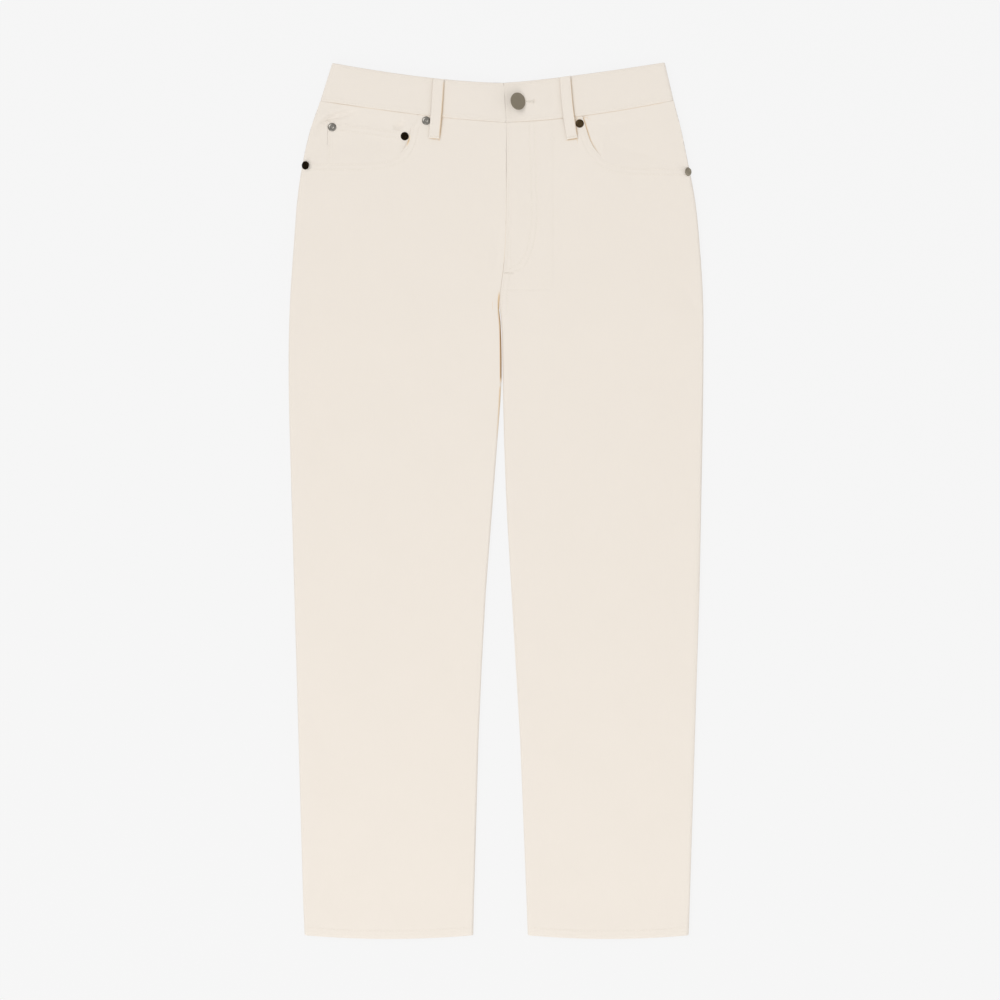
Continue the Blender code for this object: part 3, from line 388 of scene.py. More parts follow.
def all_paths():
    """Every sewn edge by name; its cloth lies to the left."""
    paths = {
        "mouth_right": smooth(MOUTH_RIGHT),
        "mouth_left": smooth(MOUTH_LEFT)[::-1],
        "fly": smooth(FLY),
        "fly_curve": beside(smooth(FLY_CURVE), -EDGE_ROW),
        "crotch_front": smooth(CROTCH),
        "hem_right": hem(SIDE_RIGHT[-1][0], INSEAM_RIGHT[-1][0]),
        "hem_left": hem(INSEAM_LEFT[-1][0], SIDE_LEFT[-1][0]),
        "inseam_right": smooth(INSEAM_RIGHT)[::-1],
        "inseam_left": smooth(INSEAM_LEFT),
        "side_right": smooth(SIDE_RIGHT),
        "side_left": smooth(SIDE_LEFT)[::-1],
        "side_top_right": even(SIDE_TOP_RIGHT),
        "side_top_left": even(SIDE_TOP_LEFT),
        "watch_top": even(WATCH_TOP),
        "watch_outer": even((WATCH_TOP[1], (WATCH_TOP[1][0], WATCH_FOOT))),
        "band_top": sweep(TOP_EDGE, TOP_EDGE[1].side_x, TOP_EDGE[0].side_x),
        "band_foot": sweep(WAIST_SEAM, WAIST_SEAM[0].side_x, WAIST_SEAM[1].side_x),
        "band_end": even(BAND_END),
        "yoke_right": even(YOKE_RIGHT),
        "yoke_left": even(YOKE_LEFT),
        "seat": even(SEAT_SEAM),
    }
    for side, sign in (("right", -1.0), ("left", 1.0)):
        corners = pocket_outline(sign)
        paths["pocket_" + side] = even(corners)
        paths["pocket_top_" + side] = even((corners[-1], corners[0]))
    return paths


def distance_from(points, path):
    """Each point's distance from a path, positive to its left, and the share along it."""
    best = np.full(len(points), np.inf)
    sideways = np.zeros(len(points))
    signed = np.full(len(points), 1e3)
    share = np.zeros(len(points))
    starts, ends = path[:-1], path[1:]
    for index, (start, end) in enumerate(zip(starts, ends)):
        run = end - start
        offset = points - start
        spot = np.clip(offset @ run / (run @ run), 0.0, 1.0)
        gap = offset - spot[:, None] * run
        length = np.hypot(gap[:, 0], gap[:, 1])
        beyond = (run[0] * offset[:, 1] - run[1] * offset[:, 0]) / math.hypot(*run)
        closer = (length < best - 1e-9) | ((length < best + 1e-9) & (abs(beyond) > sideways))
        best[closer] = length[closer]
        sideways[closer] = abs(beyond)[closer]
        signed[closer] = (length * np.sign(beyond))[closer]
        share[closer] = ((index + spot) / len(starts))[closer]
    return signed, share


def near(points, path, reach):
    """Which points lie in the path's box, widened by reach."""
    low, high = path.min(axis=0) - reach, path.max(axis=0) + reach
    return np.all((points > low) & (points < high), axis=1)


# --- materials -------------------------------------------------------------------------

class Nodes:
    """Short calls to add and link the nodes of a material or a node group."""

    def __init__(self, tree):
        self.tree = tree

    def add(self, kind, inputs=(), **settings):
        node = self.tree.nodes.new(kind)
        for name, value in settings.items():
            setattr(node, name, value)
        for name, value in dict(inputs).items():
            self.set(node, name, value)
        return node

    def set(self, node, name, value):
        if isinstance(value, bpy.types.NodeSocket):
            self.tree.links.new(value, node.inputs[name])
        else:
            node.inputs[name].default_value = value

    def math(self, operation, first, second=0.0, clamp=False):
        node = self.add("ShaderNodeMath", {0: first, 1: second}, operation=operation)
        node.use_clamp = clamp
        return node.outputs[0]

    def plus(self, first, second, clamp=False):
        return self.math("ADD", first, second, clamp)

    def minus(self, first, second, clamp=False):
        return self.math("SUBTRACT", first, second, clamp)

    def times(self, first, second):
        return self.math("MULTIPLY", first, second)

    def bell(self, value, middle, width):
        """1 where the value is the middle, falling to 0 at that width from it."""
        off = self.math("ABSOLUTE", self.minus(value, middle))
        node = self.add("ShaderNodeMapRange", {0: off, 1: 0.0, 2: width, 3: 1.0, 4: 0.0},
                        interpolation_type="SMOOTHSTEP")
        return node.outputs[0]


def new_group(name, inputs, outputs):
    """A node group with named sockets; returns it with its input and output nodes."""
    group = bpy.data.node_groups.new(name, "ShaderNodeTree")
    for socket, kind, value in inputs:
        made = group.interface.new_socket(socket, in_out="INPUT", socket_type=kind)
        if value is not None:
            made.default_value = value
    for socket, kind in outputs:
        group.interface.new_socket(socket, in_out="OUTPUT", socket_type=kind)
    nodes = Nodes(group)
    return group, nodes, nodes.add("NodeGroupInput"), nodes.add("NodeGroupOutput")


def twill_group():
    """Diagonal ribs of a heavy twill, with its threads and slubs; reads millimetres."""
    group, nodes, given, result = new_group(
        "Twill weave",
        (("Vector", "NodeSocketVector", None), ("Thread pitch", "NodeSocketFloat", 0.42),
         ("Rib pitch", "NodeSocketFloat", 0.95)),
        (("Height", "NodeSocketFloat"), ("Shade", "NodeSocketFloat")))
    spot = nodes.add("ShaderNodeSeparateXYZ", {0: given.outputs["Vector"]})
    x, y = spot.outputs["X"], spot.outputs["Y"]
    wander = nodes.add("ShaderNodeTexNoise", {"Vector": given.outputs["Vector"], "Scale": 0.35,
                                              "Detail": 2.0})
    drift = nodes.times(nodes.minus(wander.outputs[0], 0.5), 0.5)
    turn = 2.0 * math.pi

    def ribs(place, pitch):
        angle = nodes.times(nodes.math("DIVIDE", place, pitch), turn)
        return nodes.plus(nodes.times(nodes.math("SINE", angle), 0.5), 0.5)

    slant = nodes.plus(nodes.times(x, 0.88), nodes.times(y, 0.47))
    rib = ribs(nodes.plus(slant, drift), given.outputs["Rib pitch"])
    warp = ribs(nodes.plus(x, drift), given.outputs["Thread pitch"])
    stretched = nodes.add("ShaderNodeMapping", {"Vector": given.outputs["Vector"],
                                                "Scale": (1.6, 0.05, 0.05)})
    slub = nodes.add("ShaderNodeTexNoise", {"Vector": stretched.outputs[0], "Scale": 1.0,
                                            "Detail": 3.0, "Roughness": 0.6})
    weave = nodes.times(rib, nodes.plus(nodes.times(warp, 0.35), 0.65))
    height = nodes.plus(weave, nodes.times(slub.outputs[0], 0.5))
    nodes.set(result, "Height", height)
    # Painted shade: the colour darkens in the grooves between the ribs; the slubs add random tone
    deep = nodes.times(nodes.minus(1.0, rib), 0.35)
    shade = nodes.plus(deep, nodes.times(slub.outputs[0], 0.65), clamp=True)
    nodes.set(result, "Shade", shade)
    return group


def seam_group():
    """Grooves and puckers of a sewn edge, and the painted shade of its rows, from the distance to
    it in millimetres.
    """
    group, nodes, given, result = new_group(
        "Sewn edge",
        (("Vector", "NodeSocketVector", None), ("Distance", "NodeSocketFloat", FAR)),
        (("Height", "NodeSocketFloat"), ("Shade", "NodeSocketFloat")))
    distance = given.outputs["Distance"]
    rows = nodes.plus(nodes.bell(distance, EDGE_ROW, 1.3),
                      nodes.bell(distance, TWIN_ROW, 1.3))
    strip = nodes.bell(distance, 0.5 * (EDGE_ROW + TWIN_ROW), 6.5)
    ripple = nodes.add("ShaderNodeTexNoise", {"Vector": given.outputs["Vector"], "Scale": 0.22,
                                              "Detail": 1.5})
    pucker = nodes.times(nodes.times(ripple.outputs[0], strip), 1.1)
    nodes.set(result, "Height", nodes.minus(pucker, nodes.times(rows, 0.5)))
    nodes.set(result, "Shade", rows)
    return group


def painted_line_group():
    """The narrow warm painted shade where two edges meet; distances are in widths of the line."""
    group, nodes, given, result = new_group(
        "Painted shade line",
        (("Distance", "NodeSocketFloat", FAR), ("Strength", "NodeSocketFloat", 0.0)),
        (("Height", "NodeSocketFloat"), ("Shade", "NodeSocketFloat")))
    bell = nodes.bell(given.outputs["Distance"], 0.0, 1.0)
    shade = nodes.times(bell, given.outputs["Strength"])
    nodes.set(result, "Height", nodes.times(shade, -1.0))
    nodes.set(result, "Shade", shade)
    return group


def shared_group(name, make):
    """The node group of that name, made on its first use."""
    return bpy.data.node_groups.get(name) or make()


def new_material(name):
    material = bpy.data.materials.new(name)
    material.use_nodes = True
    nodes = Nodes(material.node_tree)
    return material, nodes, material.node_tree.nodes["Principled BSDF"]


def millimetres(nodes, angle=0.0):
    """Object coordinates in millimetres, turned about Z."""
    place = nodes.add("ShaderNodeTexCoord")
    mapping = nodes.add("ShaderNodeMapping", {"Vector": place.outputs["Object"],
                                              "Scale": (1000.0, 1000.0, 1000.0),
                                              "Rotation": (0.0, 0.0, angle)})
    return mapping.outputs[0]


def mix(nodes, share, first, second):
    node = nodes.add("ShaderNodeMix", data_type="RGBA")
    nodes.set(node, 0, share)
    nodes.set(node, 6, first)
    nodes.set(node, 7, second)
    return node.outputs[2]


def bump(nodes, height, depth, below=None):
    """A bump of that depth in millimetres, on top of another one."""
    node = nodes.add("ShaderNodeBump", {"Height": height, "Strength": 1.0, "Distance": depth * MM})
    if below is not None:
        nodes.set(node, "Normal", below)
    return node.outputs[0]


def cloth_material(name, angle=0.0):
    """Ecru twill whose warp runs at that angle from the waist-to-hem line."""
    settings = bpy.context.scene.jeans_cloth
    material, nodes, shader = new_material(name)
    place = millimetres(nodes, angle)
    twill = nodes.add("ShaderNodeGroup", node_tree=shared_group("Twill weave", twill_group))
    nodes.set(twill, "Vector", place)
    nodes.set(twill, "Thread pitch", settings.thread_pitch / MM)
    nodes.set(twill, "Rib pitch", settings.rib_pitch / MM)
    normal = bump(nodes, twill.outputs["Height"], settings.weave_depth / MM)
    marks = []
    for field in ("edge_one", "edge_two"):
        distance = nodes.add("ShaderNodeAttribute", attribute_name=field)
        edge = nodes.add("ShaderNodeGroup", node_tree=shared_group("Sewn edge", seam_group))
        nodes.set(edge, "Vector", place)
        nodes.set(edge, "Distance", distance.outputs["Fac"])
        normal = bump(nodes, edge.outputs["Height"], settings.seam_depth / MM, normal)
        marks.append(edge.outputs["Shade"])
    nodes.set(shader, "Normal", normal)
    cloud = nodes.add("ShaderNodeTexNoise", {"Vector": place, "Scale": 0.018, "Detail": 3.0})
    # Painted shade: tone darkens the grooves between the twill's ribs, and the slubs and the broad
    # cloud add random tone
    tone = nodes.plus(nodes.times(twill.outputs["Shade"], 0.6),
                      nodes.times(cloud.outputs[0], 0.4), clamp=True)
    colour = mix(nodes, tone, tuple(settings.colour), tuple(settings.shade))
    # Painted shade: the colour darkens along each row of stitches, where the seam presses a groove
    groove = nodes.times(nodes.math("MAXIMUM", *marks), settings.seam_mark)
    colour = mix(nodes, groove, colour, tuple(settings.painted_seam_shade))
    # Painted shade: the colour turns to a warm shade along the deep lines where two edges meet,
    # and past a strength of 1 to the darker shade of the crotch gap
    line = nodes.add("ShaderNodeGroup", node_tree=shared_group("Painted shade line", painted_line_group))
    for socket, field in (("Distance", "painted_line_distance"), ("Strength", "painted_line_strength")):
        mark = nodes.add("ShaderNodeAttribute", attribute_name=field)
        nodes.set(line, socket, mark.outputs["Fac"])
    colour = mix(nodes, line.outputs["Shade"], colour, tuple(settings.painted_line_shade))
    deep = nodes.minus(line.outputs["Shade"], 1.0, clamp=True)
    nodes.set(shader, "Base Color", mix(nodes, deep, colour, tuple(settings.painted_gap_shade)))
    rough = nodes.plus(nodes.times(twill.outputs["Height"], -0.08), 0.95)
    nodes.set(shader, "Roughness", rough)
    shader.inputs["Specular IOR Level"].default_value = 0.25
    shader.inputs["Sheen Weight"].default_value = settings.sheen
    shader.inputs["Sheen Roughness"].default_value = 0.5
    return material


def darker(colour, share):
    return tuple(share * value for value in colour[:3]) + (1.0,)


def mottled_material(name, colour, dark, angle, scale, detail, depth, rough, spread):
    """One colour with a fine mottle that also roughens it; returns its shader too."""
    material, nodes, shader = new_material(name)
    grain = nodes.add("ShaderNodeTexNoise", {"Vector": millimetres(nodes, angle), "Scale": scale,
                                             "Detail": detail}).outputs[0]
    nodes.set(shader, "Base Color", mix(nodes, grain, tuple(colour), darker(colour, dark)))
    nodes.set(shader, "Normal", bump(nodes, grain, depth))
    nodes.set(shader, "Roughness", nodes.plus(nodes.times(grain, spread), rough))
    return material, shader


def thread_material():
    """Tonal cotton-wrapped thread with a fine twist."""
    colour = bpy.context.scene.jeans_sewing.colour
    return mottled_material("Topstitch thread", colour, 0.9, 0.6, 3.0, 2.0, 0.08, 0.65, 0.2)[0]


def metal_material(name, colour, roughness, mottle):
    """Plated metal with fine mottling and brushed grain."""
    material, shader = mottled_material(name, colour, 1.0 - mottle, 0.0, 1.4, 4.0, 0.015,
                                        roughness - 0.07, 0.14)
    shader.inputs["Metallic"].default_value = 1.0
    return material


# --- cloth -----------------------------------------------------------------------------

def cut(body, faces, place, normal):
    """Cut some faces of a mesh along a plane."""
    edges = list({edge for face in faces for edge in face.edges})
    verts = list({vertex for face in faces for vertex in face.verts})
    bmesh.ops.bisect_plane(body, geom=verts + edges + faces, dist=WELD, plane_co=place,
                           plane_no=normal)


def cut_line(body, outer, start, end):
    """Cut the outer faces near a line with an upright plane through it."""
    start, end = Vector((*start, 0.0)) * MM, Vector((*end, 0.0)) * MM
    along = (end - start).normalized()
    across = Vector((-along.y, along.x, 0.0))
    length = (end - start).length
    reach = CUT_REACH * MM
    faces = []
    for face in body.faces:
        offset = face.calc_center_median() - start
        if (face[outer] and abs(offset.dot(across)) < reach
                and -reach < offset.dot(along) < length + reach):
            faces.append(face)
    cut(body, faces, start, across)


def fine_wall(node, step, up):
    """A copy of a solid with rounded edges and an evenly cut outer face."""
    body = bmesh.new()
    body.from_mesh(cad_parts[node].data)
    bmesh.ops.remove_doubles(body, verts=body.verts, dist=WELD)
    bmesh.ops.dissolve_limit(body, angle_limit=FLAT, verts=body.verts, edges=body.edges)
    sharp = [edge for edge in body.edges if edge.calc_face_angle(0.0) > SHARP]
    rim = FOLD_RIM if node.startswith(("waistband", "loop")) else RIM
    bmesh.ops.bevel(body, geom=sharp, offset=rim * MM, offset_type="OFFSET", segments=3,
                    profile=0.5, affect="EDGES", clamp_overlap=True)
    bmesh.ops.remove_doubles(body, verts=body.verts, dist=WELD)
    body.normal_update()
    # What faces sideways moves out, and less the more it faces up or down
    for vertex in body.verts:
        flat = Vector((vertex.normal.x, vertex.normal.y, 0.0))
        if flat.length > 0.3:
            share = float(ease((0.7 - abs(vertex.normal.z)) / 0.5))
            vertex.co += flat.normalized() * SEAM_CLOSE * MM * share
    outer = body.faces.layers.int.new("outer")
    for face in body.faces:
        face[outer] = int(face.normal.z * up > OUTER_LEAN)
    for axis in (1, 0):
        places = [vertex.co[axis] for vertex in body.verts]
        first = math.ceil(min(places) / (step * MM) + 0.05)
        last = math.floor(max(places) / (step * MM) - 0.05)
        direction = Vector((0.0, 0.0, 0.0))
        direction[axis] = 1.0
        for index in range(first, last + 1):
            cut(body, [face for face in body.faces if face[outer]],
                direction * (index * step * MM), direction)
    return body, outer


def covering_edges(node, paths):
    """The edges of what lies over a piece; the piece shows to the right of each."""
    if node == "front_right":
        fly = paths["fly"]
        return (fly[fly[:, 1] > FLY_FOOT],)
    if node == "waistband_right":
        return (paths["band_end"],)
    if not node.startswith(("facing", "watch")):
        return ()
    side = "left" if node == "facing_left" else "right"
    mouth = paths["mouth_" + side]
    closed = (mouth[np.abs(mouth[:, 0]) > CLOSED_MOUTH[side] - MOUTH_OVERLAP],)
    if node == "facing_right":
        closed += (np.concatenate([paths["watch_top"], paths["watch_outer"][1:]]),
                   mouth[mouth[:, 1] > UPPER_MOUTH - MOUTH_OVERLAP])
    return closed


def clear_of(distance, node):
    """0 under a covering edge, 1 beyond it."""
    return ease((WALL_START - FLUSH[node] - distance) / WALL_WIDTH)


def closed_mouth(node, points, paths, side):
    """How far the cloth inside a mouth rises where the mouth lies closed."""
    mouth, _share = distance_from(points, paths["mouth_" + side])
    closed = ease((np.abs(points[:, 0]) - CLOSED_MOUTH[side]) / CLOSING)
    if side == "right":
        closed = np.maximum(closed, ease((points[:, 1] - UPPER_MOUTH) / UPPER_CLOSING))
    rise = CLOSED_RISE * closed * (1.0 - ease(-mouth / CLOSED_REACH))
    return rise * clear_of(mouth, node), mouth, closed


def flush(node, points, levels, paths):
    """How much the cloth beside a covering edge is raised, so that it lies flush with it."""
    if node in ("front_right", "waistband_right"):
        path = covering_edges(node, paths)[0]
        distance, _share = distance_from(points, path)
        top = SEAT_TOP if node == "front_right" else BAND_TOP
        level = top + END_RISE * (1.0 - ease(-distance / END_REACH))
        if node == "front_right":
            level = top + 0.5 * (level - top)
        lift = np.clip(level - levels, 0.0, MOST_END_LIFT) * clear_of(distance, node)
        return np.where(near(points, path, END_REACH + 3.0) & (distance > -END_REACH), lift, 0.0)
    if node == "watch_pocket":
        return closed_mouth(node, points, paths, "right")[0]
    if not node.startswith("facing"):
        return np.zeros(len(points))
    side = "right" if node == "facing_right" else "left"
    inside, mouth, closed = closed_mouth(node, points, paths, side)
    edge, _share = distance_from(points, paths["side_top_" + side])
    waist, _share = distance_from(points, paths["band_foot"])
    sunk = (SEAT_TOP - FACING_TOP) * ease((np.abs(edge) - SIDE_START) / SIDE_SLOPE[side])
    sunk *= ease((np.abs(waist) - WAIST_START) / WAIST_SLOPE)
    sunk *= ease((np.abs(edge) - 2.0) / 2.0)
    open_fade = ease((-mouth - MOUTH_START) / MOUTH_SLOPE)
    level = FACING_TOP + (SEAT_TOP - FACING_TOP - sunk) * (open_fade + (1 - open_fade) * closed)
    level = np.maximum(level, FACING_TOP + inside)
    lift = np.clip(level - levels, 0.0, MOST_LIFT) * clear_of(mouth, node)
    if side == "right":
        covered, _share = distance_from(points, covering_edges(node, paths)[1])
        lift *= clear_of(covered, node)
    return lift


def relief(name, points, paths):
    """How far the cloth stands out at each point, in millimetres, and its marks by name."""
    height = np.zeros(len(points))
    edges = [np.full(len(points), FAR), np.full(len(points), FAR)]
    for seam in SEAMS:
        if seam.cloth != name:
            continue
        path = paths[seam.path]
        here = near(points, path, max(FAR, seam.width + seam.fade))
        distance, _share = distance_from(points[here], path)
        inside = ease((distance + EDGE_BLUR) / (2.0 * EDGE_BLUR))
        inside *= 1.0 - ease((distance - seam.width) / seam.fade)
        height[here] += seam.height * inside
        # The material marks every edge at EDGE_ROW and TWIN_ROW. A seam without one of these
        # rows is kept from that mark by FAR
        marked = distance
        if len(seam.rows) == 1 and seam.rows[0] > EDGE_ROW:
            marked = np.where(distance > 4.5, distance - seam.rows[0] + TWIN_ROW, FAR)
        elif len(seam.rows) < 2:
            marked = np.where(distance > 2.0 * EDGE_ROW * len(seam.rows) + 1.0, FAR, distance)
        field = edges[seam.field]
        field[here] = np.minimum(field[here], np.clip(marked, -3.0, FAR))
    for crease in CREASES:
        if crease.cloth != name:
            continue
        path = smooth(crease.points)
        here = near(points, path, 3.0 * crease.width)
        distance, share = distance_from(points[here], path)
        taper = np.sin(math.pi * np.clip(share, 0.0, 1.0)) ** 0.8
        height[here] -= crease.depth * taper * np.exp(-(distance / crease.width) ** 2)
    x, y = points.T
    for wave in WAVES:
        height += wave.height * np.sin(2.0 * math.pi * (x / wave.x + y / wave.y) + wave.phase)
    # Painted shade: how far each point lies from the nearest deep line, and how strongly that
    # line's shade is painted there
    painted_line_distance = np.full(len(points), FAR)
    painted_line_strength = np.zeros(len(points))
    for line in PAINTED_SHADE_LINES:
        if name not in line.cloths:
            continue
        path = smooth(line.points, 1.0)
        here = np.flatnonzero(near(points, path, LINE_REACH + 2.0))
        distance, share = distance_from(points[here], path)
        size = distance / line.width
        closer = np.abs(size) < np.abs(painted_line_distance[here])
        ends = np.minimum(ease(share * LINE_TAPER), ease((1.0 - share) * LINE_TAPER))
        strength = np.interp(share, (0.0, 0.5, 1.0), line.strengths) * ends
        strength[np.abs(distance) > LINE_REACH] = 0.0
        painted_line_distance[here[closer]] = size[closer]
        painted_line_strength[here[closer]] = strength[closer]
    marks = {"edge_one": edges[0], "edge_two": edges[1],
             "painted_line_distance": np.clip(painted_line_distance, -FAR, FAR), "painted_line_strength": painted_line_strength}
    return height, marks


def only(piece):
    """Select one object and make it active."""
    bpy.ops.object.select_all(action="DESELECT")
    piece.select_set(True)
    bpy.context.view_layer.objects.active = piece


def new_piece(name, mesh, material):
    """A new object of the part, with one material."""
    mesh.materials.clear()
    mesh.materials.append(material)
    piece = bpy.data.objects.new(name, mesh)
    bpy.context.scene.collection.objects.link(piece)
    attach(piece, BODY)
    return piece


def make_cloth(node, step, paths):
    """The shown cloth of one node: fine, creased and ready to carry its sewing."""
    settings = bpy.context.scene.jeans_cloth
    behind = is_behind(node)
    up = -1.0 if behind else 1.0
    body, outer = fine_wall(node, step, up)
    for path in covering_edges(node, paths):
        corners = even(path, CORNER_STEP)
        for gap in (FLUSH[node], FLUSH[node] - FLUSH_WALL):
            moved = beside(corners, -gap)
            for start, end in zip(moved, moved[1:]):
                cut_line(body, outer, start, end)
    body.verts.ensure_lookup_table()
    body.normal_update()
    shown = {vertex.index for face in body.faces if face[outer] for vertex in face.verts}
    places = np.array([vertex.co for vertex in body.verts]) / MM
    lean = np.array([abs(vertex.normal.z) if vertex.index in shown else 0.0
                     for vertex in body.verts])
    height, marks = relief(node, places[:, :2], paths)
    height *= settings.crease_scale
    if behind:
        height = np.minimum(height, 0.0) - BACK_RISE
    else:
        rim = ease((lean - 0.05) / 0.2) / np.maximum(lean, 0.05)
        height += flush(node, places[:, :2], places[:, 2], paths) * rim
    if node == "watch_pocket":
        height += WATCH_RISE
    for vertex, rise, weight in zip(body.verts, height, lean):
        vertex.co.z += up * rise * weight * MM
    name = node + "_cloth"
    mesh = bpy.data.meshes.new(name)
    body.to_mesh(mesh)
    body.free()
    for mark, values in marks.items():
        layer = mesh.attributes.new(mark, "FLOAT", "POINT")
        layer.data.foreach_set("value", values.astype(np.float32))
    mesh.attributes.remove(mesh.attributes["outer"])
    mesh.shade_smooth()
    mesh.set_sharp_from_angle(angle=SHARP)
    finish, angle = ("Ecru twill", 0.0)
    if node in CROSS_GRAIN:
        finish, angle = ("Ecru twill, cross grain", math.pi / 2)
    material = bpy.data.materials.get(finish) or cloth_material(finish, angle)
    piece = new_piece(name, mesh, material)
    only(piece)
    weights = piece.modifiers.new("flat faces first", "WEIGHTED_NORMAL")
    weights.mode = "FACE_AREA"
    weights.weight = 50
    weights.keep_sharp = True
    bpy.ops.object.modifier_apply(modifier=weights.name)
    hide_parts(node)
    return piece


# --- sewing ----------------------------------------------------------------------------

def one_stitch():
    """A single stitch along X, 1 long and 1 thick, its ends drawn down into the cloth."""
    tip, taper, flatten, droop = 0.42, 0.45, 0.4, 0.35
    bpy.ops.object.select_all(action="DESELECT")
    bpy.ops.mesh.primitive_cylinder_add(vertices=6, radius=0.5, depth=2.0 * tip,
                                        rotation=(0.0, math.pi / 2, 0.0))
    stitch = bpy.context.object
    bpy.ops.object.transform_apply(location=True, rotation=True, scale=True)
    bpy.ops.object.mode_set(mode="EDIT")
    bpy.ops.mesh.select_all(action="SELECT")
    for place in (-0.25, 0.25):
        bpy.ops.mesh.bisect(plane_co=(place, 0.0, 0.0), plane_no=(1.0, 0.0, 0.0))
        bpy.ops.mesh.select_all(action="SELECT")
    bpy.ops.object.mode_set(mode="OBJECT")
    mesh = stitch.data
    for vertex in mesh.vertices:
        if abs(vertex.co.x) > 0.9 * tip:
            vertex.co.x *= 0.5 / tip
            vertex.co.y *= taper
            vertex.co.z = vertex.co.z * flatten - droop
    corners = np.array([vertex.co for vertex in mesh.vertices])
    faces = [tuple(face.vertices) for face in mesh.polygons]
    bpy.data.objects.remove(stitch)
    bpy.data.meshes.remove(mesh)
    return corners, faces


class Sewing:
    """Stitches laid on the shown cloth, gathered into one piece per garment part."""

    def __init__(self):
        self.corners, self.faces = one_stitch()
        self.trees = {}
        self.points = []
        self.polygons = []

    def tree(self, cloth):
        if cloth not in self.trees:
            piece = bpy.data.objects[cloth + "_cloth"]
            verts = [vertex.co.copy() for vertex in piece.data.vertices]
            faces = [tuple(face.vertices) for face in piece.data.polygons]
            self.trees[cloth] = BVHTree.FromPolygons(verts, faces)
        return self.trees[cloth]

    def surface(self, cloth, x, y):
        """Point and outward normal of the shown cloth at x and y, or None off its edge."""
        side = -1.0 if is_behind(cloth) else 1.0
        start = Vector((x * MM, y * MM, 0.1 * side))
        hit = self.tree(cloth).ray_cast(start, Vector((0.0, 0.0, -side)))
        if hit[0] is None or abs(hit[1].z) < 0.5:
            return None
        normal = hit[1] if hit[1].z * side > 0.0 else -hit[1]
        return hit[0], normal

    def lay(self, first, last, up, width, sink=0.1):
        """One stitch between two points of the cloth."""
        along = last - first
        length = along.length
        along.normalize()
        across = up.cross(along).normalized()
        up = along.cross(across)
        middle = (first + last) / 2 + up * (0.2 - sink) * width * MM
        basis = np.array([along * length, across * width * MM, up * width * 0.8 * MM])
        base = len(self.points) * len(self.corners)
        self.points.append(self.corners @ basis + np.array(middle))
        self.polygons.extend([tuple(base + corner for corner in face) for face in self.faces])

    def stitch(self, cloth, start, end, width, sink=0.1):
        """One stitch from start to end on a cloth piece."""
        ends = [self.surface(cloth, *point) for point in (start, end)]
        if None not in ends:
            (first, normal_first), (last, normal_last) = ends
            self.lay(first, last, (normal_first + normal_last).normalized(), width, sink)

    def row(self, cloth, path, pitch, length, width):
        """A row of stitches along a path."""
        marks = even(path, pitch)
        for start, end in zip(marks, marks[1:]):
            gap = 0.5 * (1.0 - length / pitch)
            self.stitch(cloth, start + (end - start) * gap, end - (end - start) * gap, width)

    def bar(self, bar, pitch, width, thread):
        """A bar of close stitches across its length."""
        angle = math.radians(bar.angle)
        along = np.array((math.cos(angle), math.sin(angle)))
        across = np.array((-along[1], along[0]))
        count = int(bar.length / pitch)
        for index in range(count + 1):
            spot = np.array((bar.x, bar.y)) + along * (index / count - 0.5) * bar.length
            slant = 0.25 * pitch * along
            self.stitch(bar.cloth, spot - across * 0.5 * width - slant,
                        spot + across * 0.5 * width + slant, thread, sink=-0.15)

    def finish(self, name):
        """Join what is sewn so far into one piece."""
        mesh = bpy.data.meshes.new(name)
        mesh.from_pydata(np.concatenate(self.points).tolist(), [], self.polygons)
        mesh.update()
        mesh.shade_smooth()
        thread = bpy.data.materials.get("Topstitch thread") or thread_material()
        new_piece(name, mesh, thread)
        self.points, self.polygons = [], []


# --- settings --------------------------------------------------------------------------

def tint(name, description, *colour):
    """A colour that a user can change."""
    return bpy.props.FloatVectorProperty(name=name, description=description, subtype="COLOR",
                                         size=4, min=0.0, max=1.0, default=(*colour, 1.0))


def number(name, description, value, **kind):
    """A number that a user can change."""
    return bpy.props.FloatProperty(name=name, description=description, default=value, **kind)


SHARE = {"min": 0.0, "max": 1.0, "subtype": "FACTOR"}
LENGTH = {"subtype": "DISTANCE", "unit": "LENGTH"}
ANGLE = {"subtype": "ANGLE", "unit": "ROTATION"}


